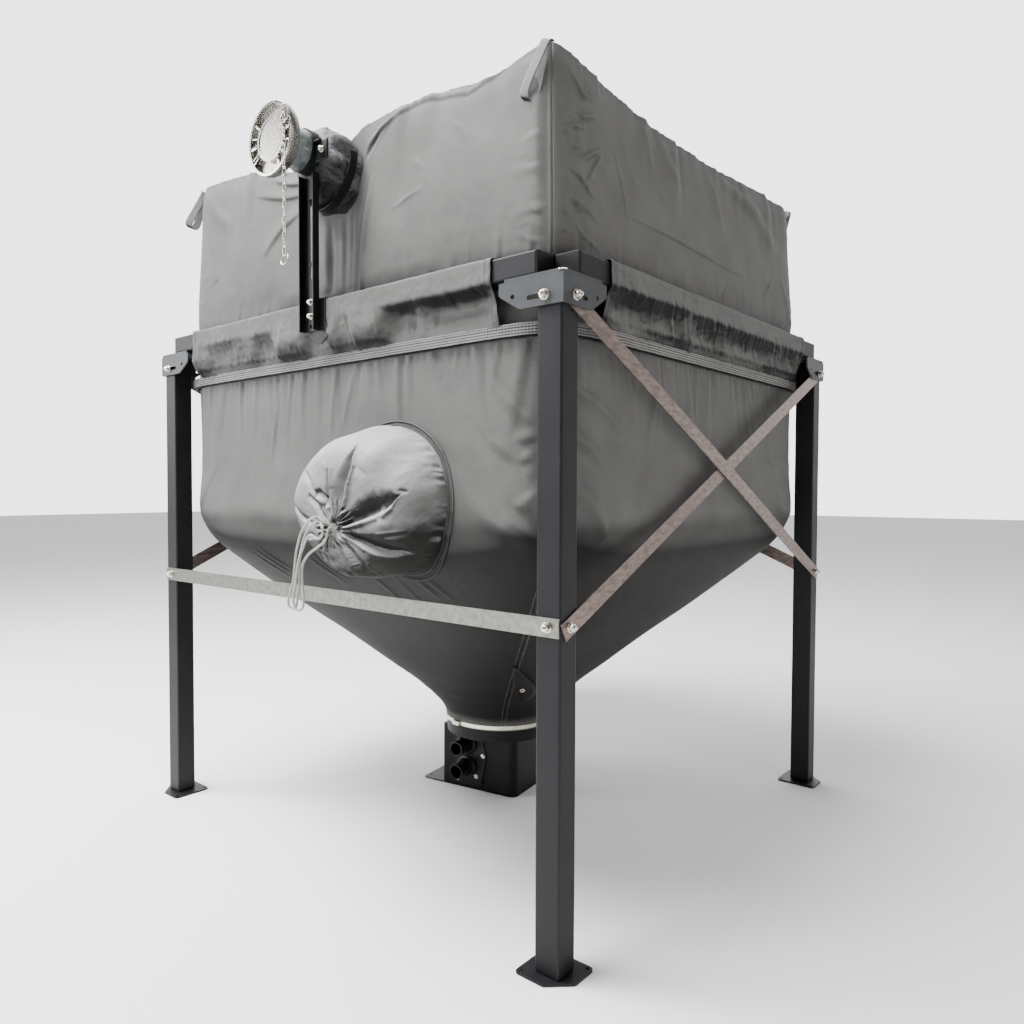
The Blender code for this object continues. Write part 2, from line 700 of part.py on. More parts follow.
def smooth_route(points, steps):
    """Reads a Catmull-Rom curve through the points, steps points to each stretch."""
    route = []
    ends = [points[0]] + points + [points[-1]]
    for i in range(len(points) - 1):
        a, b, c, d = (Vector(p) for p in ends[i:i + 4])
        for step in range(steps):
            t = step / steps
            route.append(0.5 * (2 * b + (c - a) * t + (2 * a - 5 * b + 4 * c - d) * t * t
                                + (3 * b - a - 3 * c + d) * t ** 3))
    route.append(Vector(points[-1]))
    return route


# Filling side
def along_y(thing, front, z=FILL_Z, x=0.0):
    """Turns an object made about Z so that its foot is at the front, its axis along +Y."""
    turn = Matrix.Rotation(-math.pi / 2, 4, "X")
    settle(thing)
    return apply_place(thing, Matrix.Translation((x, front, z)) @ turn)


def pipe_profile(outer, inner, length):
    return [(outer, length), (outer, 0), (inner, 0), (inner, length)]


def filling(bag_volume):
    long = PIPE_INNER_END - (CAP_BACK + GAP)
    pipe = turned("fill_pipe", pipe_profile(PIPE_RADIUS, PIPE_RADIUS - PIPE_WALL, long), ZINC_PIPE)
    along_y(pipe, CAP_BACK + GAP)
    bore = PIPE_RADIUS + GAP
    deep = RING_BACK - CAP_BACK - GAP
    coupling = turned("coupling_ring", [(0.062, deep), (0.086, deep * 0.6), (0.086, 0.0),
                                        (bore, 0.0), (bore, deep)], CAST_ALUMINIUM)
    along_y(coupling, CAP_BACK + GAP)
    thick = CAP_BACK - CAP_FRONT
    cap = turned("coupling_cap", [
        (0, thick), (CAP_RADIUS - 0.002, thick), (CAP_RADIUS, thick - 0.002), (CAP_RADIUS, 0.002),
        (CAP_RADIUS - 0.002, 0), (0.081, 0), (0.079, 0.012), (0.057, 0.012), (0.055, 0.004),
        (0, 0.004)], CAST_ALUMINIUM)
    along_y(cap, CAP_FRONT)
    wide = CLAMP_BACK - CLAMP_FRONT
    clamp = turned("pipe_clamp", pipe_profile(bore + CLAMP_THICK, bore, wide), BLACK_STEEL)
    along_y(clamp, CLAMP_FRONT)
    cone = turned("fill_sleeve", [(0.094, 0.088), (0.082, 0.046), (0.060, 0.012), (0.0555, 0),
                                  (bore, 0), (bore, 0.004), (0.0785, 0.048), (0.090, 0.088)],
                  BAG_CLOTH)
    along_y(cone, POST_BACK + 2 * GAP)
    sag_from = POST_BACK + 2 * GAP + 0.004
    for vert in cone.data.vertices:
        vert.co.z -= 0.40 * max(0.0, vert.co.y - sag_from)
    cut(cone, bag_volume)
    chain_radius = 0.003
    chain_y = CAP_FRONT - GAP - chain_radius
    tube_along("cap_chain", [(0.0705, chain_y, z) for z in (1.930, 1.740, 1.548)], chain_radius,
               CAST_ALUMINIUM)
    post_and_hook(bore)


def post_and_hook(bore):
    """The slotted channel that carries the pipe and the plate that hooks it over the rail."""
    top = FILL_Z - bore - CLAMP_THICK - GAP
    half = POST_WIDE / 2
    front = POST_BACK - POST_DEEP
    web = POST_BACK - POST_WALL
    section = [(-half, front), (-half + POST_WALL, front), (-half + POST_WALL, web),
               (half - POST_WALL, web), (half - POST_WALL, front), (half, front),
               (half, POST_BACK), (-half, POST_BACK)]
    post = plate("fill_post", [section], top - POST_LOW, BLACK_STEEL)
    apply_place(post, Matrix.Translation((0, 0, (top + POST_LOW) / 2)))
    for low, high, wide in ((1.601, 1.764, 0.009), (1.557, 1.589, 0.009), (1.428, 1.438, 0.010)):
        hole = box("post_slot", (-wide / 2, web - 0.005, low), (wide / 2, web + 0.005, high),
                   BLACK_STEEL)
        cut(post, as_cutter(hole))
    middle, low_half, top_half = 0.0275, 0.0375, 0.0265
    shelf_back = -0.7220        # just outside the cloth that the shelf's end meets
    tongue_edge = [(middle - top_half, RAIL_TOP + 0.002), (middle - top_half, 1.440),
                   (middle - low_half, 1.425), (middle - low_half, 1.408), (middle - 0.010, 1.387),
                   (middle + 0.010, 1.385), (middle + low_half, 1.404), (middle + low_half, 1.425),
                   (middle + top_half, 1.440), (middle + top_half, RAIL_TOP + 0.002)]
    hook = plate("hook_plate", [tongue_edge[::-1]], HOOK_THICK, BLACK_STEEL)
    apply_place(hook, Matrix.Translation((0, HOOK_BACK - HOOK_THICK / 2, 0)) @ upright("front"))
    lip_low = RAIL_TOP + GAP + CLOTH + GAP
    lip = box("lip", (middle - top_half, HOOK_BACK - HOOK_THICK, lip_low - 0.003),
              (middle + top_half, HOOK_BACK - 0.0001, lip_low + HOOK_THICK), BLACK_STEEL)
    shelf = box("shelf", (middle - top_half, HOOK_BACK - HOOK_THICK, lip_low),
                (middle + top_half, shelf_back, lip_low + HOOK_THICK), BLACK_STEEL)
    fuse(hook, lip, shelf)


# Outlet
def outlet():
    """The take-off box under the neck, with its collar, base plate, nozzles and clamp band."""
    turn = Matrix.Rotation(OUTLET_TURN, 4, "Z")
    low = BASE_THICK + GAP

    def footprint(inset, round_by):
        return rounded([
            (BOX_LEFT + inset, BOX_FRONT + inset, 0.006), (BOX_RIGHT - inset, BOX_FRONT + inset, round_by),
            (BOX_RIGHT - inset, BOX_BACK - inset, 0.010), (BOX_LEFT + inset, BOX_BACK - inset, 0.010)])

    base = plate("outlet_base", [
        rounded([(BASE_LEFT, BOX_FRONT - 0.002, 0.010), (BOX_RIGHT + 0.002, BOX_FRONT - 0.002, BOX_ROUND),
                 (BOX_RIGHT + 0.002, BOX_BACK + 0.002, 0.010), (BASE_LEFT, BOX_BACK + 0.002, 0.010)]),
        circle(0.0045, (BASE_LEFT + 0.014, BOX_FRONT + 0.026)),
        circle(0.0045, (BASE_LEFT + 0.014, BOX_BACK - 0.026))], BASE_THICK, BLACK_STEEL)
    apply_place(base, turn @ Matrix.Translation((0, 0, BASE_THICK / 2)))

    body = plate("outlet_box", [footprint(0, BOX_ROUND)], BOX_TOP - low, BLACK_STEEL)
    apply_place(body, Matrix.Translation((0, 0, (BOX_TOP + low) / 2)))
    drum_low = BOX_TOP - 2 * BOX_WALL - 0.0005
    drum = cylinder("drum", COLLAR_RADIUS, drum_low, COLLAR_TOP, BLACK_STEEL, RING_POINTS)
    fuse(body, drum)
    hollow = plate("box_hollow", [footprint(BOX_WALL, BOX_ROUND - BOX_WALL)], BOX_TOP, BLACK_STEEL)
    apply_place(hollow, Matrix.Translation((0, 0, BOX_TOP / 2 - BOX_WALL)))
    drum_hollow = cylinder("drum_hollow", COLLAR_RADIUS - BOX_WALL, drum_low + BOX_WALL,
                           COLLAR_TOP + 0.010, BLACK_STEEL, RING_POINTS)
    for cutter in (hollow, drum_hollow):
        cut(body, as_cutter(cutter))
    bores = []
    for name, z in zip(("upper", "lower"), NOZZLE_Z):
        bore = cylinder("bore_" + name, NOZZLE_BORE, 0, 0.040, BLACK_STEEL, 32)
        along_y(bore, BOX_FRONT - 0.020, z, NOZZLE_ALONG)
        bores.append(as_cutter(bore))
        cut(body, bore)
    settle(body)
    apply_place(body, turn)

    face = BOX_FRONT - GAP
    cover_thick = 0.004
    flange = 0.036              # the nozzles' mounting flange, its radius
    cover_edge = rounded([(BOX_LEFT + 0.052, 0.012, 0.012), (NOZZLE_ALONG + 0.052, 0.012, 0.012),
                          (NOZZLE_ALONG + 0.074, 0.113, 0.030), (NOZZLE_ALONG + 0.052, 0.195, 0.012),
                          (BOX_LEFT + 0.052, 0.195, 0.012)])
    cover = plate("nozzle_cover", [cover_edge], cover_thick, BLACK_PLASTIC)
    apply_place(cover, Matrix.Translation((0, face - cover_thick / 2, 0)) @ upright("front"))
    for bore in bores:
        cut(cover, bore)
    settle(cover)
    apply_place(cover, turn)
    for name, z in zip(("upper", "lower"), NOZZLE_Z):
        nozzle = turned("nozzle_" + name, [
            (flange, NOZZLE_LONG), (flange, NOZZLE_LONG - 0.006),
            (NOZZLE_RADIUS + 0.004, NOZZLE_LONG - 0.012), (NOZZLE_RADIUS, NOZZLE_LONG - 0.030),
            (NOZZLE_RADIUS, 0.0), (NOZZLE_BORE, 0.0), (NOZZLE_BORE, NOZZLE_LONG)],
            BLACK_PLASTIC, 32)
        along_y(nozzle, face - cover_thick - GAP - NOZZLE_LONG, z, NOZZLE_ALONG)
        apply_place(nozzle, turn)
    neck_band()


def neck_band():
    """The clamp band round the neck, with the housing of its screw."""
    low, high, thick = 0.2395, 0.2515, 0.0015
    inner = NECK_RADIUS + GAP
    band = turned("neck_band", [(inner + thick, high), (inner + thick, low), (inner, low),
                                (inner, high)], BRIGHT_BAND, RING_POINTS)
    settle(band)
    apply_place(band, Matrix.Rotation(math.pi / RING_POINTS, 4, "Z"))
    housing = box("housing", (-0.016, -inner - 0.012, low - 0.001), (0.016, -inner - 0.0008, high + 0.001),
                  BRIGHT_BAND, 0.0015, 1)
    settle(housing)
    apply_place(housing, Matrix.Rotation(math.radians(-10), 4, "Z"))
    fuse(band, housing)


def build():
    for name, (sx, sy) in CORNERS.items():
        leg(name, sx, sy)
        foot(name, sx, sy)
        bracket(name, sx, sy)
    for side in SIDES:
        rail(side)
        sleeve(side)
    for side in ("right", "back", "left"):
        braces(side)
    reach = HALF - BOLT_IN
    flat_bar("tie_bar_front", "front", (-reach, BOLT_LOW_Z), (reach, BOLT_LOW_Z), 0, BOLT_IN - 0.002)

    bag_volume = solid_bag()
    pipe_hole = cylinder("pipe_hole", PIPE_RADIUS + GAP, 0, 0.3, BAG_CLOTH)
    along_y(pipe_hole, -0.85)
    as_cutter(pipe_hole)
    bag(pipe_hole)
    for name, side in (("front_right", "front"), ("front_left", "left"), ("back_left", "left"),
                       ("back_right", "back")):
        hanging_loop(name, *CORNERS[name], side, bag_volume)
    sock(bag_volume)
    tube_along("drawstring", smooth_route(STRING_ROUTE, 2), STRING_RADIUS, STRING)
    filling(bag_volume)
    outlet()
    for thing in PARTS.objects:
        thing.data.shade_smooth()
        thing.data.set_sharp_from_angle(angle=math.radians(30))


build()
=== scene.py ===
# %% [markdown]
# # A fabric pellet silo in its steel frame
#
# The real thing stores wood pellets next to a boiler. A square bag of coated cloth hangs in a
# frame of square steel tube, a capped pipe at the front fills it, a gathered cloth sock lets a
# hand in, and a small steel box on the floor feeds the suction hoses. The hard parts already
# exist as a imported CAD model, in metres. This lesson dresses it: cloth is rebuilt from its sewn
# panels, small hardware is added, and every surface gets a finish.

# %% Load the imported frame
import math

import bmesh
import bpy
import numpy as np
from mathutils import Matrix, Vector


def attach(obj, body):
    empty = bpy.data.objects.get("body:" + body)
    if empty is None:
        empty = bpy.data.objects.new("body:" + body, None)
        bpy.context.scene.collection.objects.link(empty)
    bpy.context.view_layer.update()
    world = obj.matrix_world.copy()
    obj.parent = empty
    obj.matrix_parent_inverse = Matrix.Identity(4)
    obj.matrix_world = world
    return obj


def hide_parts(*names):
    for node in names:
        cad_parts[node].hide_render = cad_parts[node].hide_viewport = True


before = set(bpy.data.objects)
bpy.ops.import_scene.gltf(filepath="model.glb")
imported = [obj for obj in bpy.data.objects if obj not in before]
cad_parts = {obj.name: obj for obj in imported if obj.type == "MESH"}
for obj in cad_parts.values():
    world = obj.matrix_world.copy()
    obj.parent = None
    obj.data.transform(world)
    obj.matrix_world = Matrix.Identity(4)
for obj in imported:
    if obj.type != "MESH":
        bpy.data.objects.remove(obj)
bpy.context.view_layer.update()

# %% [markdown]
# ## Camera and light
#
# A camera could be placed by eye, but the photograph shows four legs of a square frame, and their
# corners fix the view exactly. The lens is wide for a studio picture, so the near leg looks long.
# The light is that of a white studio: a large soft lamp high on the left, a weak one on the right
# and a pale surrounding, which leaves the funnel under the bag in shade.

# %% Camera and lamps
def in_scene(name, data):
    """A new object of some data, linked to the scene."""
    made = bpy.data.objects.new(name, data)
    bpy.context.scene.collection.objects.link(made)
    return made


camera = bpy.data.cameras.new("camera")
camera.sensor_width = 36
camera.lens = 28.05
camera.shift_x = 0.0657
camera.shift_y = 0.0016
view = in_scene("camera", camera)
view.location = (1.6813, -2.1113, 1.0082)
view.rotation_euler = [math.radians(angle) for angle in (88.213, -0.068, 42.392)]
bpy.context.scene.camera = view

BAG_MIDDLE = Vector((0, 0, 1.2))
LAMPS = (                   # name, place, width, watts, colour
    ("overhead_lamp", (-1.0, -1.9, 5.4), 3.0, 1150, (1, 1, 1)),
    ("left_lamp", (-3.4, -3.4, 2.4), 2.0, 230, (0.97, 0.98, 1.0)),
    ("side_lamp", (4.6, -0.6, 3.0), 2.4, 45, (1.0, 0.90, 0.86)),
)
for name, place, width, watts, colour in LAMPS:
    data = bpy.data.lights.new(name, "AREA")
    data.size, data.energy, data.color = width, watts, colour
    lamp = in_scene(name, data)
    lamp.location = place
    lamp.rotation_euler = (BAG_MIDDLE - Vector(place)).to_track_quat("-Z", "Y").to_euler()
print("camera at", tuple(view.location), "and", len(LAMPS), "lamps")

# %% [markdown]
# ## Small tools
#
# The same few steps come back for every piece: a colour from its hex code, one node in a shader,
# an empty selection before a new primitive, a grid of points turned into cloth, and the last lines
# that name a piece's finish, body and CAD node. Each could be written out where it is needed, but
# as a short function it reads more plainly.

# %% Colours, nodes and new materials
def hex_colour(code):
    """An sRGB hex code as the linear colour that a shader takes."""
    parts = [int(code[i:i + 2], 16) / 255 for i in (1, 3, 5)]
    return [p / 12.92 if p <= 0.04045 else ((p + 0.055) / 1.055) ** 2.4 for p in parts] + [1.0]


def add_node(tree, kind, inputs, **settings):
    """Adds one node: a pair (node, output) in inputs becomes a link, anything else a value."""
    fresh = tree.nodes.new("ShaderNode" + kind)
    for name, value in settings.items():
        setattr(fresh, name, value)
    for socket, value in inputs.items():
        if isinstance(value, tuple) and isinstance(value[0], bpy.types.Node):
            tree.links.new(value[0].outputs[value[1]], fresh.inputs[socket])
        else:
            fresh.inputs[socket].default_value = value
    return fresh


def noise(tree, vector, scale, **inputs):
    """A noise texture's factor, from 0 to 1."""
    return add_node(tree, "TexNoise", {"Vector": vector, "Scale": scale, **inputs}), "Fac"


def maths(tree, operation, *values):
    """The result of one sum on values or links."""
    return add_node(tree, "Math", dict(enumerate(values)), operation=operation), "Value"


def object_place(tree):
    """The place on the object in metres, which drives textures that need no sewn map."""
    return add_node(tree, "TexCoord", {}), "Object"


def new_finish(name, colour, roughness, metallic=0.0, **others):
    """A material with a Principled shader, whose even values sit on the shader itself."""
    made = bpy.data.materials.new(name)
    made.use_nodes = True
    tree = made.node_tree
    shader = tree.nodes["Principled BSDF"]
    shader.inputs["Base Color"].default_value = hex_colour(colour)
    shader.inputs["Roughness"].default_value = roughness
    shader.inputs["Metallic"].default_value = metallic
    for socket, value in others.items():
        shader.inputs[socket.replace("_", " ")].default_value = value
    return made, tree, shader


def two_tones(tree, shader, factor, dark, light, start=0.0, end=1.0):
    """Blends two hex colours while a factor goes from start to end, onto the shader."""
    ramp = add_node(tree, "ValToRGB", {"Fac": factor})
    for stop, place, code in zip(ramp.color_ramp.elements, (start, end), (dark, light)):
        stop.position = place
        stop.color = hex_colour(code)
    tree.links.new(ramp.outputs["Color"], shader.inputs["Base Color"])
    return ramp, "Color"


def gloss(tree, shader, factor, low, high):
    """Lets the roughness follow a factor between two values."""
    span = add_node(tree, "MapRange", {"Value": factor, "To Min": low, "To Max": high})
    tree.links.new(span.outputs["Result"], shader.inputs["Roughness"])


def relief(tree, shader, height, depth):
    """Bump from a height between 0 and 1 that stands for depth in metres."""
    bump = add_node(tree, "Bump", {"Height": height, "Strength": 1.0, "Distance": depth})
    tree.links.new(bump.outputs["Normal"], shader.inputs["Normal"])


print("shader tools ready")

# %% Selecting, shaping and finishing a piece
def nothing_selected():
    if bpy.context.object and bpy.context.object.mode != "OBJECT":
        bpy.ops.object.mode_set(mode="OBJECT")
    bpy.ops.object.select_all(action="DESELECT")


def select_only(*pieces):
    """Selects just these pieces and makes the first one active."""
    nothing_selected()
    for piece in pieces:
        piece.select_set(True)
    bpy.context.view_layer.objects.active = pieces[0]


def settle(piece):
    """Applies the modifiers and the place of a piece, so that its object is at the origin."""
    select_only(piece)
    for change in list(piece.modifiers):
        bpy.ops.object.modifier_apply(modifier=change.name)
    bpy.ops.object.transform_apply(location=True, rotation=True, scale=True)
    return piece


def reshape(piece, change):
    """Opens a piece's mesh, changes it by a function and writes it back."""
    bm = bmesh.new()
    bm.from_mesh(piece.data)
    bm.verts.ensure_lookup_table()
    change(bm)
    bm.to_mesh(piece.data)
    bm.free()
    return piece


def face_out(bm):
    """Merges doubles and turns all faces outwards."""
    bmesh.ops.remove_doubles(bm, verts=bm.verts, dist=0.00001)
    bmesh.ops.recalc_face_normals(bm, faces=bm.faces)


def close_ends(ring):
    """The change that fills the first and the last ring of a mesh."""
    def change(bm):
        bm.faces.new(bm.verts[:ring])
        bm.faces.new(bm.verts[-ring:])
    return change


def smooth_by_angle(piece, degrees=35):
    piece.data.shade_smooth()
    piece.data.set_sharp_from_angle(angle=math.radians(degrees))


def joined(name, pieces):
    """Joins finished meshes into one object of that name."""
    select_only(*pieces)
    bpy.ops.object.join()
    whole = bpy.context.object
    whole.name = whole.data.name = name
    return whole


def copies(source, places):
    """Copies of a finished piece, each moved by one matrix, in place of the piece itself."""
    made = []
    for place in places:
        data = source.data.copy()
        data.transform(place)
        made.append(in_scene(source.name, data))
    bpy.data.objects.remove(source)
    return made


def dress(piece, finish, slot, *replaced):
    """Gives a piece its finish and its body, and hides the CAD nodes that it replaces; slot is not
    used.
    """
    piece.data.materials.clear()
    piece.data.materials.append(finish)
    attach(piece, "root")
    if replaced:
        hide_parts(*replaced)
    triangles = sum(len(face.vertices) - 2 for face in piece.data.polygons)
    print(piece.name, "has", triangles, "triangles")


print("tools for pieces ready")

# %% Meshes from rows of points
def spread_map(across, along):
    """A cloth map: distances across and along, spread over the grid that they span."""
    return np.stack(np.broadcast_arrays(across, along), axis=-1)


def cloth_grid(name, points, around=False, uv=None):
    """Quads between the rows of an array (rows, columns, 3), with a UV map in metres.

    around closes each row into a ring. uv is an array (rows, columns, 2) in metres.
    """
    rows, columns = points.shape[:2]
    index = np.arange(rows * columns).reshape(rows, columns)
    if around:
        index = np.concatenate([index, index[:, :1]], axis=1)

    def corners_of(grid):
        return [grid[:-1, :-1], grid[:-1, 1:], grid[1:, 1:], grid[1:, :-1]]

    quads = np.stack(corners_of(index), axis=-1)
    mesh = bpy.data.meshes.new(name)
    mesh.from_pydata(points.reshape(-1, 3).tolist(), [], quads.reshape(-1, 4).tolist())
    if uv is not None:
        if around:
            step_on = np.array([uv[0, -1, 0] + uv[0, 1, 0] - 2 * uv[0, 0, 0], 0])
            uv = np.concatenate([uv, uv[:, :1] + step_on], axis=1)
        layer = mesh.uv_layers.new(name="cloth")
        corners = np.stack(corners_of(uv), axis=2)
        layer.data.foreach_set("uv", corners.reshape(-1).astype(np.float32))
    mesh.shade_smooth()
    return in_scene(name, mesh)


def unit(vectors):
    """Vectors of length one."""
    return vectors / np.maximum(np.linalg.norm(vectors, axis=-1, keepdims=True), 1e-12)


def grid_normals(points, around=False):
    """Unit normals of an array of rows, out of the side where the columns turn anticlockwise."""
    if around:
        wrapped = np.concatenate([points[:, -1:], points, points[:, :1]], axis=1)
        across = np.gradient(wrapped, axis=1)[:, 1:-1]
    else:
        across = np.gradient(points, axis=1)
    return unit(np.cross(across, np.gradient(points, axis=0)))


def side_turn(points, degrees):
    """Turns an array of points about the Z axis, from the front to another side."""
    c, s = math.cos(math.radians(degrees)), math.sin(math.radians(degrees))
    return points @ np.array([[c, -s, 0], [s, c, 0], [0, 0, 1]]).T


def full_turn(count):
    """A count of angles round a circle."""
    return np.arange(count) * 2 * math.pi / count


SIDES = {"front": 0, "right": 90, "back": 180, "left": 270}
CORNERS = {"front_left": (-1, -1), "front_right": (1, -1),
           "back_left": (-1, 1), "back_right": (1, 1)}
print("sides:", list(SIDES), "corners:", list(CORNERS))

# %% [markdown]
# ## The drawstring
#
# A braided string gathers the mouth of the inspection sock. It is limp, so it leaves the gather,
# turns down under its own weight and hangs in two thin loops before it goes back in. A curve with
# a round bevel would do, but a tube swept in code can carry a UV map in metres, and the braid
# follows it. Its points are those of the CAD route, read as one smooth curve.

# %% The string's route and a tube swept along it
STRING_POINTS = [tuple(tenth / 10000 for tenth in point) for point in (     # tenths of a mm
    (2310, -9040, 9225), (2310, -9130, 9232), (2288, -9220, 9268), (2230, -9300, 9325),
    (2140, -9350, 9380), (2020, -9370, 9405), (1880, -9365, 9395), (1740, -9345, 9345),
    (1608, -9316, 9264), (1358, -9286, 9044), (1198, -9256, 8784), (1068, -9236, 8474),
    (998, -9226, 8114), (930, -9226, 7774), (800, -9216, 7500), (705, -9200, 7340),
    (705, -9185, 7190), (840, -9170, 7125), (970, -9160, 7190), (1005, -9150, 7390),
    (1040, -9130, 7650), (1058, -9126, 7904), (1068, -9136, 8234), (1138, -9146, 8544),
    (1318, -9166, 8914), (1598, -9196, 9184), (1850, -9230, 9300), (2050, -9290, 9300),
    (2200, -9370, 9260), (2320, -9425, 9170), (2345, -9440, 9050), (2260, -9440, 8950),
    (2110, -9430, 8925), (1950, -9405, 8970), (1778, -9370, 8985), (1590, -9350, 8830),
    (1348, -9326, 8464), (1208, -9306, 8134), (1118, -9296, 7774), (1020, -9276, 7490),
    (990, -9256, 7310), (1050, -9240, 7160), (1185, -9225, 7120), (1310, -9210, 7220),
    (1325, -9206, 7420), (1290, -9206, 7700), (1268, -9206, 7960), (1290, -9196, 8250),
    (1460, -9166, 8490), (1820, -9170, 8690), (2060, -9180, 8810), (2185, -9205, 8925),
    (2235, -9215, 9040), (2245, -9178, 9138), (2245, -9110, 9184), (2245, -9041, 9192),
)]
STRING_DIAMETER = 0.006


def smooth_line(points, steps):
    """A Catmull-Rom curve through the points, with that many steps to each stretch."""
    points = np.array(points, float)
    ends = np.concatenate([points[:1], points, points[-1:]])
    t = (np.arange(steps) / steps)[None, :, None]
    a, b, c, d = (ends[i:len(ends) - 3 + i, None] for i in range(4))
    line = 0.5 * (2 * b + (c - a) * t + (2 * a - 5 * b + 4 * c - d) * t ** 2
                  + (3 * b - a - 3 * c + d) * t ** 3)
    return np.concatenate([line.reshape(-1, points.shape[1]), points[-1:]])


def line_lengths(line):
    """Distance along a line to each of its points."""
    return np.concatenate([[0], np.cumsum(np.linalg.norm(np.diff(line, axis=0), axis=1))])


def resample(line, lengths, spots):
    """The line's columns read at other distances along it."""
    return np.stack([np.interp(spots, lengths, column) for column in line.T], axis=1)


def even_line(points, pitch):
    """A smooth curve through the points, resampled at an even pitch, and the distances along."""
    fine = smooth_line(points, 16)
    lengths = line_lengths(fine)
    spots = np.linspace(0, lengths[-1], int(lengths[-1] / pitch) + 1)
    return resample(fine, lengths, spots), spots


def tube(name, line, radius, sides=10, closed=False):
    """A round tube along a line, with filled ends and UVs of arc and length in metres."""
    count = len(line)
    ahead = np.roll(line, -1, axis=0) - np.roll(line, 1, axis=0)
    if not closed:
        ahead[0], ahead[-1] = line[1] - line[0], line[-1] - line[-2]
    ahead /= np.linalg.norm(ahead, axis=1, keepdims=True)
    side = np.cross(ahead[0], (0.3, 0.2, 0.93))
    first = []
    for forward in ahead:               # a frame that never twists about the line
        side = side - forward * np.dot(side, forward)
        side /= np.linalg.norm(side)
        first.append(side)
    first = np.array(first)
    second = np.cross(ahead, first)
    angle = full_turn(sides)[None, :]
    if closed:                          # the twist left at the join is spread over all rings
        last = first[-1] - ahead[0] * np.dot(first[-1], ahead[0])
        twist = math.atan2(np.dot(last, second[0]), np.dot(last, first[0]))
        angle = -twist * np.arange(count)[:, None] / count + angle
    angle = np.broadcast_to(angle, (count, sides))[..., None]
    wide = np.broadcast_to(np.reshape(radius, (-1, 1)), (count, 1))[..., None]
    rings = line[:, None] + wide * (np.cos(angle) * first[:, None]
                                    + np.sin(angle) * second[:, None])
    uv = spread_map(full_turn(sides) * np.mean(wide), line_lengths(line)[:, None])
    if closed:
        rings = np.concatenate([rings, rings[:1]])
        uv = np.concatenate([uv, uv[-1:] + (0, np.linalg.norm(line[0] - line[-1]))])
    piece = cloth_grid(name, rings, around=True, uv=uv)
    if not closed:
        reshape(piece, close_ends(sides))
    return reshape(piece, face_out)


string_line = smooth_line(STRING_POINTS, 8)

# %% The string, its knot and its braid
KNOT_CENTRE, KNOT_SIZE = (0.2040, -0.9370, 0.9385), 0.0026
# polyester string: diagonal bands of painted shade, following the bump, make the plaited strands
string_finish, tree, shader = new_finish("braided_polyester_string", "#a3a29c", 0.75,
                                         Sheen_Weight=0.3)
uv = add_node(tree, "UVMap", {}, uv_map="cloth")
place = add_node(tree, "Mapping", {"Vector": (uv, "UV"), "Rotation": (0, 0, 0.6)})
strands = add_node(tree, "TexWave", {"Vector": (place, "Vector"), "Scale": 75.0,
                                     "Distortion": 0.6, "Detail": 1.0}, bands_direction="Y")
two_tones(tree, shader, (strands, "Fac"), "#6f6e69", "#bab9b3")
relief(tree, shader, (strands, "Fac"), 0.0008)

string = tube("drawstring_tube", string_line, STRING_DIAMETER / 2, 12)
turn = full_turn(72)
knot_line = np.stack([np.sin(turn) + 2 * np.sin(2 * turn), np.cos(turn) - 2 * np.cos(2 * turn),
                      -1.35 * np.sin(3 * turn)], axis=1) * KNOT_SIZE + KNOT_CENTRE
knot = tube("drawstring_knot", knot_line, 0.0029, 10, closed=True)
for piece in (string, knot):
    dress(piece, string_finish, "string")
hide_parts("drawstring")

# %% [markdown]
# ## Bag cloth
#
# The bag is sewn from polyester cloth with a thin coating inside. Its threads are about half a
# millimetre apart, too fine for this picture, so the weave is drawn at 2.4 mm, where it just
# shows and gives the faint ripples that a camera sees in such cloth. A weave made from two sine
# waves follows the UV map that every panel carries in metres, so threads run square to the seams.

# %% Finish: coated polyester cloth
THREAD = 0.0024


def woven(name, dark, light, roughness=0.62, thread=THREAD, depth=0.00035, marks=0.55,
          under="#0a0807", turn=(-0.02, -0.44)):
    """Cloth of crossing threads on the map "cloth", clouded by handling and fine scuffs.

    A painted shade darkens the faces that look down: the last colour argument is that shade, and
    turn is how far up a face looks where the painted shade begins and ends.
    """
    made, tree, shader = new_finish(name, light, roughness, Specular_IOR_Level=0.18)
    uv = add_node(tree, "UVMap", {}, uv_map="cloth"), "UV"
    parts = add_node(tree, "SeparateXYZ", {"Vector": uv})
    waves = [maths(tree, "SINE", maths(tree, "MULTIPLY", (parts, axis), 2 * math.pi / thread))
             for axis in "XY"]
    weave = maths(tree, "MULTIPLY", *waves)
    cloud = noise(tree, uv, 9.0, Detail=4.0)
    scuffs = noise(tree, uv, 60.0, Detail=5.0, Roughness=0.7, Distortion=1.5)
    shade = maths(tree, "MULTIPLY_ADD", cloud, marks, 0.5 - marks / 2)
    scuffed = maths(tree, "MULTIPLY_ADD", scuffs, 0.35, shade)
    tone = maths(tree, "MULTIPLY_ADD", weave, 0.10, scuffed)
    cloth_tone = two_tones(tree, shader, tone, dark, light, start=0.35)
    # painted shade: the more a face looks down, the more its colour turns into the dark shade
    # colour
    facing_up = add_node(tree, "SeparateXYZ",
                         {"Vector": (add_node(tree, "NewGeometry", {}), "Normal")})
    painted_shade = add_node(tree, "MapRange", {"Value": (facing_up, "Z"), "From Min": turn[0],
                                        "From Max": turn[1]})
    # inputs 6 and 7 and output 2 of this node are its colours
    mixed = add_node(tree, "Mix", {0: (painted_shade, "Result"), 6: cloth_tone, 7: hex_colour(under)},
                     data_type="RGBA")
    tree.links.new(mixed.outputs[2], shader.inputs["Base Color"])
    gloss(tree, shader, scuffs, roughness - 0.08, roughness + 0.10)
    relief(tree, shader, maths(tree, "MULTIPLY_ADD", weave, 0.5, 0.5), depth)
    return made


def twisted_thread(name, colour, dark, light, **others):
    """Sewing thread: one colour whose twist gives it fine lighter and darker specks."""
    made, tree, shader = new_finish(name, colour, 0.7, **others)
    two_tones(tree, shader, noise(tree, object_place(tree), 900.0), dark, light)
    return made
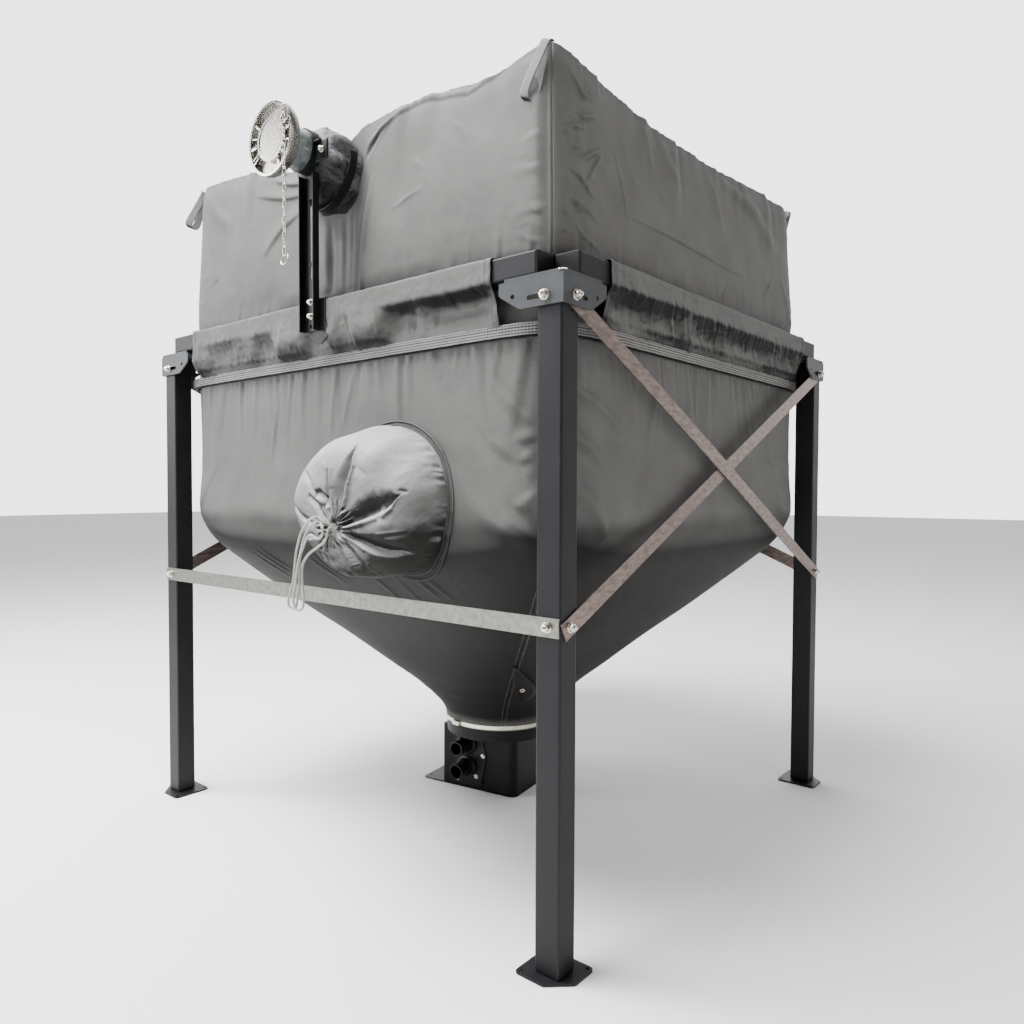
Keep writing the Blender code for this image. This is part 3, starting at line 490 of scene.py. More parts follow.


# woven's painted shade darkens the bag wherever its faces look down, most on the funnel and neck
bag_finish = woven("coated_polyester_cloth", "#4a4a49", "#686866")      # anthracite bag cloth
# the band is the bag's own cloth, drawn paler as painted light for the light it catches
band_finish = woven("sewn_band_cloth", "#7c7c7a", "#9a9a98", thread=0.0018)     # paler strip
thread_finish = twisted_thread("black_sewing_thread", "#050506", "#040405", "#101012",
                               Specular_IOR_Level=0.1)                  # matt black thread
print("cloth threads every", THREAD * 1000, "mm")

# %% [markdown]
# ## Folds as height fields
#
# Cloth simulation makes broad buckles well, but it cannot know where this bag was creased in the
# photograph. So each panel starts smooth, and three kinds of height are added along its normals:
# noise with sharp ridges for crumpled cloth, rows of pleats that hang from a stitched edge, and
# single creases along lines read from the picture. All of them are plain arrays, fixed by seeds.

# %% Noise, pleats and creases
def smooth_noise(x, y, seed):
    """Gradient noise from -1 to 1 on cells of one unit."""
    table = np.random.default_rng(seed).uniform(-1, 1, (64, 64, 2))
    column, row = np.floor(x).astype(int), np.floor(y).astype(int)
    u, v = x - column, y - row
    su, sv = u * u * u * (u * (u * 6 - 15) + 10), v * v * v * (v * (v * 6 - 15) + 10)

    def lean(dx, dy):
        arrow = table[(row + dy) % 64, (column + dx) % 64]
        return arrow[..., 0] * (u - dx) + arrow[..., 1] * (v - dy)

    low = lean(0, 0) * (1 - su) + lean(1, 0) * su
    high = lean(0, 1) * (1 - su) + lean(1, 1) * su
    return (low * (1 - sv) + high * sv) * 1.4


def crumple(x, y, size, seed, octaves=3):
    """Ridged noise from about -1 to 1: cloth that was folded and opened again."""
    total, weight, scale = 0.0, 1.0, 1.0 / size
    for octave in range(octaves):
        bend = 0.35 * smooth_noise(x * scale * 0.6 + 7, y * scale * 0.6, seed + 50 + octave)
        ridges = np.abs(smooth_noise(x * scale + bend, y * scale + bend, seed + octave))
        total = total + weight * (1 - 2.6 * ridges)
        weight *= 0.5
        scale *= 1.9
    return total / 1.75


def step(value, low, high):
    """Rises smoothly from 0 at low to 1 at high."""
    t = np.clip((value - low) / (high - low), 0, 1)
    return t * t * (3 - 2 * t)


def bell(value, width):
    """A smooth hump: 1 where the value is 0, and near 0 beyond twice the width."""
    return np.exp(-(value / width) ** 2)


def pleats(x, down, seed, span, pitch, length, width, height):
    """Ridges that hang from an edge: down is the distance below it, all in metres."""
    random = np.random.default_rng(seed)
    total = np.zeros(np.broadcast(x, down).shape)
    place = span[0]
    while place < span[1]:
        place += pitch * random.uniform(0.45, 1.6)
        long = length * random.uniform(0.35, 1.5)
        wide = width * random.uniform(0.6, 1.4) * (1 + 0.6 * down / long)
        across = (x - place - random.normal(0, 0.10) * down) / wide
        ridge = np.exp(-across ** 2) - 0.75 * bell(across - 1.5, 0.7)
        fade = np.clip(1 - down / long, 0, 1) ** 1.3
        total += height * random.uniform(0.4, 1.3) * ridge * fade
    return total


def crease(x, y, line, wide, high, soft=2.5):
    """One fold along a line of (x, y) points: steep on the left of the line, soft on its right."""
    spans = np.diff(line, axis=0)
    before = line_lengths(line)
    best = np.full(np.shape(x), 1e9)
    side, along = np.zeros(np.shape(x)), np.zeros(np.shape(x))
    for start, run, passed in zip(line, spans, before):
        length = np.hypot(*run)
        t = np.clip(((x - start[0]) * run[0] + (y - start[1]) * run[1]) / length ** 2, 0, 1)
        dx, dy = x - start[0] - t * run[0], y - start[1] - t * run[1]
        distance = np.hypot(dx, dy)
        near = distance < best
        best = np.where(near, distance, best)
        side = np.where(near, run[0] * dy - run[1] * dx, side)
        along = np.where(near, (passed + t * length) / before[-1], along)
    spread = np.where(side > 0, wide, wide * soft)
    body = np.sin(np.pi * np.clip(along, 0, 1)) ** 0.6
    return high * body * bell(best, spread)


def creases(rows):
    """Reads rows of width, height and points, in thousandths, as (line, width, height)."""
    return [(np.reshape(points, (-1, 2)) / 1000, wide / 1000, high / 1000)
            for wide, high, *points in rows]


print("tools for folds ready, noise seeded per piece")

# %% [markdown]
# ## Shape of the bag
#
# Seen from above, the bag is a rounded square that turns into a circle at the neck. A table gives
# its height, half width and squareness, as in the CAD model, and a smooth curve through the table
# gives every row. Each side is its own sewn panel from corner seam to corner seam. Columns lie
# close together beside the seams, where the cloth is folded over, and wider apart between them.

# %% Rows of the bag's panels
LOWER_LEVELS = np.array([   # height, half width, squareness
    (0.236, 0.1748, 2.0), (0.262, 0.1750, 2.0), (0.292, 0.187, 2.1), (0.325, 0.211, 2.3),
    (0.355, 0.2383, 2.45), (0.390, 0.273, 2.7), (0.434, 0.322, 3.0), (0.535, 0.425, 4.0),
    (0.637, 0.535, 5.0), (0.771, 0.672, 6.0), (0.838, 0.728, 7.0), (0.900, 0.750, 8.5),
    (0.960, 0.757, 9.0), (1.080, 0.750, 9.0), (1.220, 0.745, 10.0), (1.333, 0.738, 12.0),
    (1.352, 0.7365, 13.0), (1.400, 0.7265, 18.0), (1.430, 0.7165, 26.0), (1.4447, 0.7165, 30.0),
])
SEAM_STEPS = np.array([0, 1.2, 2.6, 4, 5.5, 7, 8.5, 10, 11.5, 13, 15, 18, 22, 27]) / 1000
PANEL_WIDTH = 1.40


def bag_rows(levels, spacing):
    """Resamples a table of levels along its slope; spacing(height) is the wished distance."""
    fine = smooth_line(levels, 24)
    slope = line_lengths(fine[:, :2])
    spots = [0.0]
    while spots[-1] < slope[-1]:
        spots.append(spots[-1] + spacing(np.interp(spots[-1], slope, fine[:, 0])))
    spots = np.array(spots) * slope[-1] / spots[-1]
    return resample(fine, slope, spots), spots


def panel_grid(rows, spots, pitch):
    """Points of the front panel (rows, columns, 3) and its flat places (rows, columns, 2)."""
    count = int(PANEL_WIDTH / pitch)
    lean = math.pi / 4 * np.sin(np.linspace(-math.pi / 2, math.pi / 2, 301))
    points, flat = [], []
    for (height, half, square), spot in zip(rows, spots):
        reach = (np.abs(np.sin(lean)) ** square + np.abs(np.cos(lean)) ** square) ** (-1 / square)
        outline = np.stack([half * reach * np.sin(lean), -half * reach * np.cos(lean),
                            np.full(len(lean), height)], axis=1)
        arc = line_lengths(outline)
        whole = arc[-1]
        middle = np.linspace(SEAM_STEPS[-1], whole - SEAM_STEPS[-1], count)[1:-1]
        places = np.concatenate([SEAM_STEPS, middle, (whole - SEAM_STEPS)[::-1]])
        points.append(resample(outline, arc, places))
        flat.append(spread_map(places - whole / 2, spot))
    return np.array(points), np.array(flat)


def seam_height(flat, width=0.0070, high=0.0008):
    """The doubled cloth beside the corner seams, with the stitched groove between."""
    edge = np.minimum(flat[..., 0] - flat[:, :1, 0], flat[:, -1:, 0] - flat[..., 0])
    ridge = high * step(edge, 0.0004, 0.0030) * (1 - step(edge, width - 0.002, width + 0.0015))
    return ridge - 0.0014 * bell(edge, 0.0011), edge


lower_rows, lower_spots = bag_rows(
    LOWER_LEVELS, lambda z: 0.010 if z < 0.70 else 0.0075 if z < 1.20 else 0.0045)
lower_points, lower_flat = panel_grid(lower_rows, lower_spots, 0.0060)
print("lower panel grid:", lower_points.shape)

# %% [markdown]
# ## Lower bag: wall, funnel and neck
#
# The wall hangs from the stitched band in pleats that run out after a hand's width. Below them it
# is nearly smooth, with soft drag lines towards the legs and the sock, and a few short creases
# cross the funnel. The mesh is moved along its normals, and the movement dies out at the corner
# seams. All four panels repeat the same making with other seeds, and only the front has lines
# that were read from the photograph.

# %% Relief and panels of the lower bag
FRONT_CREASES = creases((     # width and height of the fold, x and z of its points, all in mm
    (3.5, 4.2, -200, 1330, -215, 1220, -235, 1080), (5, 4, 50, 1330, 35, 1240, 30, 1140),
    (4.5, 3.6, 120, 1330, 100, 1250, 75, 1160), (10, 5, 480, 1230, 580, 1120, 690, 1050),
    (10, 4.5, 500, 1150, 600, 1020, 700, 940), (12, 4, 440, 1070, 550, 960, 660, 880),
    (9, 5, 560, 1270, 640, 1180, 710, 1130), (12, 3.5, -520, 1100, -600, 1000, -680, 930),
    (7, 4.8, 621, 1115, 660, 1124, 700, 1131), (6, 4.8, 640, 1072, 670, 1088, 700, 1099),
    (6, 4.2, 650, 1038, 675, 1050, 700, 1057), (8, 5.2, 635, 968, 670, 990, 700, 1006),
    (12, 6.4, 610, 952, 660, 915, 700, 880), (4, 3.6, -371, 829, -315, 790, -260, 750),
    (3.5, 3.2, -395, 815, -340, 775, -290, 738), (3.5, 3, -345, 835, -290, 800, -235, 765),
    (4.5, 3.8, -122, 824, -75, 785, -26, 745), (3.5, 3, -95, 830, -50, 790, -5, 752),
    (3.5, 3.4, 275, 785, 300, 755, 315, 730), (3.5, 3.2, 315, 790, 345, 755, 365, 725),
    (4, 3, 100, 800, 140, 740, 160, 690), (4, 2.6, 200, 780, 230, 720, 240, 660),
))
SIDE_CREASES = creases((      # the same for the other sides
    (10, 6, -700, 1160, -600, 1100, -520, 1020), (8, 4.5, -690, 1240, -580, 1200, -460, 1130),
    (10, 5, -680, 1050, -600, 980, -550, 900), (12, 4, 200, 1160, 450, 1100, 680, 1080),
    (12, 4.5, 350, 1020, 520, 950, 660, 930), (6, 3.5, -300, 1320, -330, 1200, -370, 1100),
))
BAND_FOOT, RING_SEAM = 1.334, (0.3515, 0.3585)      # heights of the band and the neck seam


def lower_relief(points, flat, seed, folds):
    """How far each point of a lower panel stands out of the smooth shape, in metres."""
    x, z = flat[..., 0], points[..., 2]
    ridge, edge = seam_height(flat)
    wall = step(z, 0.86, 0.95)
    down = np.clip(BAND_FOOT - z, 0, None)
    below = z < BAND_FOOT + 0.0005
    height = wall * (0.0030 * smooth_noise(x * 3.2, z * 2.6, seed)
                     + 0.0011 * crumple(x, z, 0.16, seed + 3))
    height += 0.0009 * crumple(x * 1.2, z, 0.30, seed + 5, 2) * step(z, 0.30, 0.42)
    for number, sizes in enumerate(((0.055, 0.22, 0.011, 0.0046), (0.019, 0.085, 0.0052, 0.0030),
                                    (0.010, 0.035, 0.0030, 0.0018))):
        height += below * pleats(x, down, seed + 11 + number, (-0.78, 0.78), *sizes)
    height += sum(crease(x, z, *fold) for fold in folds)
    height *= step(edge, 0.010, 0.050) * (1 - 0.75 * step(z, 1.333, 1.352))
    return height + ridge + 0.0016 * sum(bell(z - level, 0.003) for level in RING_SEAM)


for number, (side, degrees) in enumerate(SIDES.items()):
    folds = FRONT_CREASES if side == "front" else SIDE_CREASES
    height = lower_relief(lower_points, lower_flat, 20 + 9 * number, folds)
    moved = lower_points + grid_normals(lower_points) * height[..., None]
    panel = cloth_grid("bag_panel_" + side, side_turn(moved, degrees), uv=lower_flat)
    dress(panel, bag_finish, "bag_cloth", "bag_wall", "bag_hopper", "bag_neck")

# %% [markdown]
# ## Roof of the bag
#
# The upper part stands like a tent, held out at its four corners by the loops. Its top edge sags
# between them by different amounts, which a short table gives for each side. Beside the corner
# seams the thread has drawn the cloth into rows of tiny puckers, and on the right of the near
# corner it is crumpled as after a long time in its parcel. The filling pipe drags it inwards.

# %% Roof: levels, edge heights and creases
ROOF_LEVELS = [             # height, half width, squareness
    (1.504, 0.7165, 30), (1.530, 0.7200, 26), (1.600, 0.7200, 26), (1.700, 0.7150, 28),
    (1.800, 0.7080, 32), (1.880, 0.7030, 36), (1.925, 0.6950, 40),
]
TOP_EDGES = {               # places along each side, heights of its top edge there, in mm
    "front": ((-700, -617, -479, -366, -250, -178, -90, 0, 89, 211, 324, 416, 510, 560, 634, 700),
              (1985, 1982, 1970, 1955, 1925, 1912, 1918, 1938, 1955, 1956, 1953, 1943, 1929, 1935,
               1950, 1962)),
    "right": ((-700, -620, -535, -400, -250, -80, 73, 250, 435, 560, 700),
              (1962, 1950, 1939.5, 1926, 1918, 1917, 1919, 1931, 1943, 1944, 1956)),
    "back": ((-700, -520, -250, 50, 340, 580, 700),
             (1956, 1936, 1922, 1931, 1924, 1938, 1955)),
    "left": ((-700, -500, -220, 100, 360, 580, 700),
             (1955, 1937, 1926, 1932, 1928, 1960, 1985)),
}
SOCKET_CREASES = creases((    # front: round the filling sleeve and at the corners
    (4.5, -11, 135, 1800, 112, 1690, 98, 1600, 104, 1520),
    (8, 7.5, 152, 1800, 128, 1690, 114, 1600, 118, 1520), (4, -6, -16, 1720, -10, 1640, -3, 1535),
    (7, 5, -34, 1740, -28, 1640, -20, 1540), (5, 5, 20, 1740, 26, 1640, 30, 1530),
    (4.5, 4.5, 52, 1760, 56, 1660, 62, 1540), (4, 4, 80, 1780, 80, 1670, 82, 1530),
    (5, 2.8, 120, 1835, 139, 1855, 211, 1905, 271, 1922, 360, 1918, 468, 1909, 510, 1923, 585,
     1938, 660, 1952),
    (2.6, -2.2, 130, 1825, 150, 1847, 215, 1893, 275, 1910, 360, 1906, 468, 1898, 510, 1911, 585,
     1927, 660, 1943),
    (5, 6, 110, 1870, 180, 1895, 270, 1915), (3.5, -4.5, 105, 1845, 175, 1885, 250, 1912),
    (6, 6, -110, 1870, -200, 1885, -300, 1905), (7, 5.5, -110, 1840, -230, 1845, -360, 1860),
    (9, 5, -120, 1800, -220, 1750, -300, 1690), (3.5, 2.2, 300, 1800, 345, 1770, 360, 1730),
    (3, 2, 230, 1700, 310, 1720, 350, 1725), (3, 2, 430, 1850, 460, 1830, 475, 1800),
    (2.6, 1.6, 640, 1640, 665, 1605, 695, 1585), (4, 1.2, 630, 1700, 665, 1692, 695, 1700),
    (4.4, 1.4, 625, 1745, 660, 1760, 695, 1755), (3.6, 1.2, 630, 1560, 660, 1540, 695, 1530),
    (11, 6, -640, 1900, -560, 1840, -470, 1800), (12, 5.5, -660, 1860, -600, 1760, -560, 1660),
))
CORNER_CREASES = creases((    # the other sides: drawn in by the corner seams
    (3.2, 6, -619, 1723, -570, 1750, -521, 1776), (3, 6.5, -603, 1667, -560, 1720, -521, 1768),
    (2.6, 4.8, -468, 1800, -440, 1730, -413, 1640), (2.2, 3.5, -390, 1740, -352, 1769),
    (3.8, 6, -665, 1900, -600, 1860, -545, 1868), (3.4, 6.5, -660, 1830, -600, 1815, -540, 1838),
    (3, 5.5, -670, 1770, -630, 1790, -575, 1800), (3.4, 6, -665, 1700, -620, 1690, -560, 1655),
    (4, 5, -660, 1640, -600, 1625, -540, 1600), (4, 4.5, -660, 1590, -610, 1560, -540, 1545),
    (11, 7.5, -231, 1905, -175, 1840, -123, 1783), (9, 6.5, -315, 1905, -300, 1860, -282, 1810),
    (12, 8, 45, 1900, 95, 1820, 137, 1737), (11, 8, 133, 1898, 260, 1880, 403, 1850),
    (13, 6.5, 300, 1910, 420, 1830, 560, 1780),
    (2.8, 4, -485, 1654, -216, 1655, 139, 1647, 299, 1646),
    (3, 4, 114, 1545, 135, 1575, 153, 1607), (4, 4.2, 410, 1600, 470, 1650, 517, 1695),
    (8, 5, 560, 1720, 620, 1640, 660, 1560),
))
roof_rows, roof_spots = bag_rows(ROOF_LEVELS, lambda z: 0.0042)
roof_points, roof_flat = panel_grid(roof_rows, roof_spots, 0.0055)
print("roof panel grid:", roof_points.shape)


# %% Roof: relief and four panels
SWELLINGS = (               # centre in x and height, reach in x and height, height of the swelling
    (0.42, 1.74, 0.27, 0.15, 0.016), (-0.34, 1.72, 0.20, 0.15, 0.011),
    (0.045, 1.64, 0.070, 0.22, -0.022), (0.000, 1.88, 0.110, 0.07, -0.020),
)


def roof_relief(side, seed):
    """How far each point of a roof panel stands out of the smooth shape, in metres."""
    x, z = roof_flat[..., 0], roof_points[..., 2]
    ridge, edge = seam_height(roof_flat)
    front = side == "front"
    free = step(z, 1.506, 1.56) * (1 - 0.6 * step(z, 1.88, 1.93))
    height = free * (0.0055 * smooth_noise(x * 2.6, z * 3.0, seed)
                     + 0.0013 * crumple(x, z, 0.17, seed + 1))
    near_seam = bell(x - 0.70, 0.10) if front else bell(x + 0.63, 0.11)
    pucker = 0.0026 if side == "right" else 0.0008
    height += pucker * near_seam * crumple(x, z * 1.1, 0.060, seed + 2)
    below_top, above_foot = np.clip(1.93 - z, 0, None), np.clip(z - 1.504, 0, None)
    across, upright = (-0.7, 0.7), (1.48, 1.95)
    for number, (place, down, *sizes) in enumerate((
            (x, below_top, across, 0.11, 0.20, 0.020, 0.0040),
            (x, below_top, across, 0.030, 0.050, 0.0070, 0.0018),
            (x, above_foot, across, 0.070, 0.08, 0.0085, 0.0020),
            (z, edge, upright, 0.060, 0.08, 0.0080, 0.0018),
            (z, edge, upright, 0.013, 0.030, 0.0034, 0.0020))):
        height += pleats(place, down, seed + 3 + number, *sizes)
    if front:
        for at_x, at_z, reach_x, reach_z, high in SWELLINGS:
            height += high * bell(x - at_x, reach_x) * bell(z - at_z, reach_z)
    for line, wide, high in SOCKET_CREASES if front else CORNER_CREASES:
        height += crease(x, z, line, wide, high * (1 if front else 0.62))
    return height * step(edge, 0.009, 0.034) * step(z, 1.502, 1.516) + ridge


roof_edges = []
for number, (side, degrees) in enumerate(SIDES.items()):
    smooth_edge = smooth_line(np.transpose(TOP_EDGES[side]) / 1000, 12)
    shaped = roof_points.copy()
    wanted = np.interp(shaped[-1, :, 0], smooth_edge[:, 0], smooth_edge[:, 1])
    shaped[..., 2] += (wanted - shaped[-1, :, 2]) * step(shaped[..., 2], 1.72, 1.93)
    shaped += grid_normals(shaped) * roof_relief(side, 200 + 17 * number)[..., None]
    roof_edges.append(side_turn(shaped[-1], degrees))
    panel = cloth_grid("roof_panel_" + side, side_turn(shaped, degrees), uv=roof_flat)
    dress(panel, bag_finish, "bag_cloth", "bag_roof_front" if side == "front" else "bag_roof")

# %% Roof: the top panel
TOP_MIDDLE = 1.951
rim = np.concatenate([edge[:-1:2] for edge in roof_edges])
inward = np.concatenate([[0, 0.004, 0.010], np.linspace(0.02, 0.985, 62)])[:, None]
x, y = (1 - inward) * rim[:, 0], (1 - inward) * rim[:, 1]
z = rim[:, 2] + (TOP_MIDDLE - rim[:, 2]) * step(inward, 0.0, 0.9)
z += step(inward, 0.0, 0.05) * (0.004 * smooth_noise(x * 3.4, y * 3.4, 301)
                                + 0.0012 * crumple(x, y, 0.20, 302)
                                + 0.004 * bell(inward * 0.7, 0.03))
z -= 0.002 * (inward == 0.004)          # the groove of the seam round the edge
top = np.stack([x, y, z], axis=-1)
piece = cloth_grid("roof_top_panel", top, around=True, uv=np.stack([x, y], axis=-1))
reshape(piece, lambda bm: bm.faces.new(bm.verts[-len(rim):]))
dress(piece, bag_finish, "bag_cloth", "bag_top")

# %% [markdown]
# ## Stitches
#
# A row of stitches looks like a fine dashed line, and each dash is a short loop of thread that
# dents the cloth. A particle system could scatter them, but they must sit at an even pitch along
# given lines. So one function walks along a line, lays a small eight-sided bead at every pitch
# and keeps them all in one mesh. The beads are a little longer than real ones, to be seen.

# %% A function for rows of stitches
BEAD_FACES = np.array([(0, 2, 4), (2, 1, 4), (1, 3, 4), (3, 0, 4),
                       (2, 0, 5), (1, 2, 5), (3, 1, 5), (0, 3, 5)])


def stitches(name, finish, rows, pitch, long, wide, high):
    """Sewn stitches as one mesh. rows is a list of (line, normals), both arrays of points."""
    verts, faces = [], []
    for line, normals in rows:
        lengths = line_lengths(line)
        count = max(1, int(lengths[-1] / pitch))
        spots = (np.arange(count) + 0.5) * lengths[-1] / count
        ahead = unit(resample(line, lengths, spots + 0.0004)
                     - resample(line, lengths, spots - 0.0004))
        out = unit(resample(normals, lengths, spots))
        reaches = ahead * long / 2, np.cross(ahead, out) * wide / 2, -out * high
        place = resample(line, lengths, spots) + out * high * 0.3
        six = np.stack([place + way * reach for reach in reaches for way in (-1, 1)], axis=1)
        start = sum(len(made) for made in verts) + 6 * np.arange(count)[:, None, None]
        verts.append(six.reshape(-1, 3))
        faces.append((BEAD_FACES[None] + start).reshape(-1, 3))
    mesh = bpy.data.meshes.new(name)
    mesh.from_pydata(np.concatenate(verts).tolist(), [], np.concatenate(faces).tolist())
    piece = in_scene(name, mesh)
    reshape(piece, lambda bm: bmesh.ops.recalc_face_normals(bm, faces=bm.faces))
    dress(piece, finish, "string")


def row_of(points, flat_up, spot, lift=0.0004):
    """The line across a grid at a distance up its slope, and the normals along it."""
    index = np.interp(spot, flat_up, np.arange(len(flat_up)))
    low, part = int(index), index - int(index)
    line, out = (grid[low] * (1 - part) + grid[low + 1] * part
                 for grid in (points, grid_normals(points)))
    return line + out * lift, out


print("a stitch has", len(BEAD_FACES), "faces")

# %% [markdown]
# ## The stitched band
#
# Where the rail sleeves end, a strip of cloth is sewn on round the whole bag with five rows of
# black thread. It carries the weight of the pellets into the rails, hence the many rows. The
# thread has shortened the strip, so it is puckered: small ridges stand across it and run on into
# the pleats below. The pucker is noise stretched along the height, and every row lies in a groove.

# %% Stitched band round the bag
BAND_LEVELS = [(1.3315, 0.7440, 13), (1.3325, 0.7508, 13), (1.3400, 0.7516, 13),
               (1.3500, 0.7520, 13), (1.3600, 0.7520, 13), (1.3612, 0.7450, 13)]
BAND_ROWS = (0.0075, 0.0135, 0.0195, 0.0255, 0.0315)        # distances up the strip
band_rows, band_spots = bag_rows(BAND_LEVELS, lambda z: 0.0011)
band_points, band_flat = panel_grid(band_rows, band_spots, 0.0045)
x, up = band_flat[..., 0], band_flat[..., 1]
inside = step(up, 0.004, 0.012) * (1 - step(up, 0.034, 0.040))
grooves = sum(0.0009 * bell(up - line, 0.0008) for line in BAND_ROWS)
stitch_rows = []
for number, (side, degrees) in enumerate(SIDES.items()):
    height = inside * (0.0016 * crumple(x, up * 0.25, 0.020, 400 + number, 2)
                       + 0.0010 * smooth_noise(x * 16, up * 6, 410 + number)) - grooves
    moved = band_points + grid_normals(band_points) * height[..., None]
    strip = cloth_grid("band_" + side, side_turn(moved, degrees), uv=band_flat)
    dress(strip, band_finish, "bag_cloth")
    stitch_rows += [[side_turn(part, degrees) for part in row_of(moved, band_spots, line)]
                    for line in BAND_ROWS]
stitches("band_stitches", thread_finish, stitch_rows, 0.0080, 0.0054, 0.0027, 0.0011)

# %% [markdown]
# ## Rail sleeves
#
# Each rail runs through a tunnel of cloth. Over the rail the cloth is tight and shows the square
# tube below it, while the skirt under it hangs down to the band. Two profiles are mixed along the
# rail: one stays out far down, the other tucks in right below the rail. At the front the skirt is
# tucked in stretches, whose turning line gives the dark scalloped shadow of the photograph, and
# on the other sides it slopes almost evenly, a little wavy.

# %% Four rail sleeves
# the front sleeve's cloth has its painted shade start on faces that look further down than the
# bag's
rail_finish = woven("rail_sleeve_cloth", "#4a4a49", "#686866", turn=(-0.10, -0.75))
TUNNEL = [(-0.7395, 1.336), (-0.7300, 1.385), (-0.7168, 1.420), (-0.7166, 1.450),
          (-0.7166, 1.492), (-0.7180, 1.4984), (-0.7240, 1.4992), (-0.7500, 1.4994),
          (-0.7770, 1.4992), (-0.7826, 1.4980), (-0.7838, 1.4925), (-0.7838, 1.4700)]
LOOSE_SKIRT = TUNNEL + [(-0.7850, 1.4400), (-0.7875, 1.4150), (-0.7840, 1.3960),
                        (-0.7720, 1.3790), (-0.7590, 1.3670), (-0.7510, 1.3590)]
TUCKED_SKIRT = TUNNEL + [(-0.7836, 1.4510), (-0.7800, 1.4440), (-0.7650, 1.4385),
                         (-0.7480, 1.4290), (-0.7400, 1.4150), (-0.7400, 1.4000),
                         (-0.7450, 1.3850), (-0.7490, 1.3700), (-0.7500, 1.3590)]
SKIRT_TUCKS = {             # place along the rail, reach, how far the skirt is tucked in
    "front": ((-0.420, 0.130, 0.42), (-0.230, 0.050, 0.50), (0.000, 0.045, 0.55),
              (0.120, 0.026, 0.20), (0.310, 0.050, 0.70), (0.480, 0.130, 1.00)),
    "right": ((0.000, 0.900, 0.50), (-0.480, 0.090, 0.22), (-0.200, 0.040, -0.14),
              (0.120, 0.060, 0.12), (0.380, 0.045, -0.12)),
    "back": ((0.000, 0.900, 0.46), (-0.380, 0.060, -0.16), (-0.060, 0.070, 0.16),
             (0.300, 0.050, -0.12)),
    "left": ((0.000, 0.900, 0.44), (-0.300, 0.050, 0.18), (0.060, 0.060, -0.16),
             (0.420, 0.070, 0.14)),
}
SLEEVE_HALF, SLEEVE_PITCH = 0.600, 0.0034
HEM_ROWS, HEM_STARTS = (0.0135, 0.0165), 8          # from the sleeve's end; the first row sewn

loose, sleeve_spots = even_line(LOOSE_SKIRT, SLEEVE_PITCH)
tucked = even_line(TUCKED_SKIRT, SLEEVE_PITCH * 0.99)[0]
tucked = resample(tucked, np.linspace(0, 1, len(tucked)), np.linspace(0, 1, len(loose)))
ends = np.array([-1, -0.9975, -0.995])
sleeve_x = np.concatenate([ends, np.linspace(-0.99, 0.99, 300), -ends[::-1]]) * SLEEVE_HALF
along, up = np.broadcast_arrays(sleeve_x[None, :], sleeve_spots[:, None])
rail_foot = np.argmin(np.abs(loose[:, 1] - 1.470) + (loose[:, 0] > -0.78))
drop = up - sleeve_spots[rail_foot]                 # distance below the rail's foot
below_foot, above_band = np.clip(drop + 0.01, 0, None), np.clip(0.115 - drop, 0, None)
skirt = step(drop, 0.0, 0.030) * (1 - step(drop, 0.095, 0.112))
end = SLEEVE_HALF - np.abs(along)
hem = 0.0012 * (step(end, 0.0005, 0.003) - step(end, 0.019, 0.022))
hem -= 0.0010 * bell(end - 0.016, 0.001)
hem_rows = []
for number, (side, degrees) in enumerate(SIDES.items()):
    tuck = sum(amount * np.exp(-(np.abs(along - place) / reach) ** 4)
               for place, reach, amount in SKIRT_TUCKS[side])
    tuck = np.clip(tuck + 0.07 * smooth_noise(along * 10, drop * 6, 500 + number)
                   + 0.05 * crumple(along, drop, 0.08, 510 + number, 2), 0, 1)[..., None]
    profile = loose[:, None] * (1 - tuck) + tucked[:, None] * tuck
    sleeve = np.concatenate([along[..., None], profile], axis=-1)
    slant = along - (0.10 if side == "front" else 0.45) * below_foot
    height = skirt * (
        0.0030 * smooth_noise(along * 9, drop * 9, 530 + number)
        + 0.0022 * crumple(along, drop * 0.6, 0.055, 540 + number)
        + pleats(slant, below_foot, 550 + number, (-0.6, 0.6), 0.038, 0.13, 0.0070, 0.0036)
        + pleats(along, above_band, 570 + number, (-0.6, 0.6), 0.016, 0.045, 0.0042, 0.0030))
    height += 0.0011 * crumple(along, drop, 0.030, 520 + number) * step(drop, -0.055, -0.035)
    height += 0.0008 * crumple(along, drop, 0.045, 560 + number, 2) + hem
    sleeve -= grid_normals(sleeve) * np.clip(height, -0.009, 0.009)[..., None]
    piece = cloth_grid("rail_sleeve_cloth_" + side, side_turn(sleeve, degrees),
                       uv=spread_map(along, up))
    piece.data.flip_normals()
    dress(piece, rail_finish if side == "front" else bag_finish, "bag_cloth",
          "rail_sleeve_" + side)
    out = -grid_normals(sleeve)
    for place in HEM_ROWS:
        for hem_x in (place - SLEEVE_HALF, SLEEVE_HALF - place):
            column = np.argmin(np.abs(sleeve_x - hem_x))
            line, normals = sleeve[HEM_STARTS:, column], out[HEM_STARTS:, column]
            hem_rows.append((side_turn(line + 0.0004 * normals, degrees),
                             side_turn(normals, degrees)))
stitches("sleeve_hem_stitches", thread_finish, hem_rows, 0.0048, 0.0034, 0.0010, 0.0005)

# %% [markdown]
# ## Corner seams and hanging loops
#
# Along the four edges of the bag the panels are sewn together, and a line of pale thread shows
# beside each edge. Strong webbing loops sit in the top corners, where the empty bag is hung up
# for filling. Webbing bends only one way, so a flat strip is led along a path: down in front,
# round a narrow bend at the foot, and up again behind.

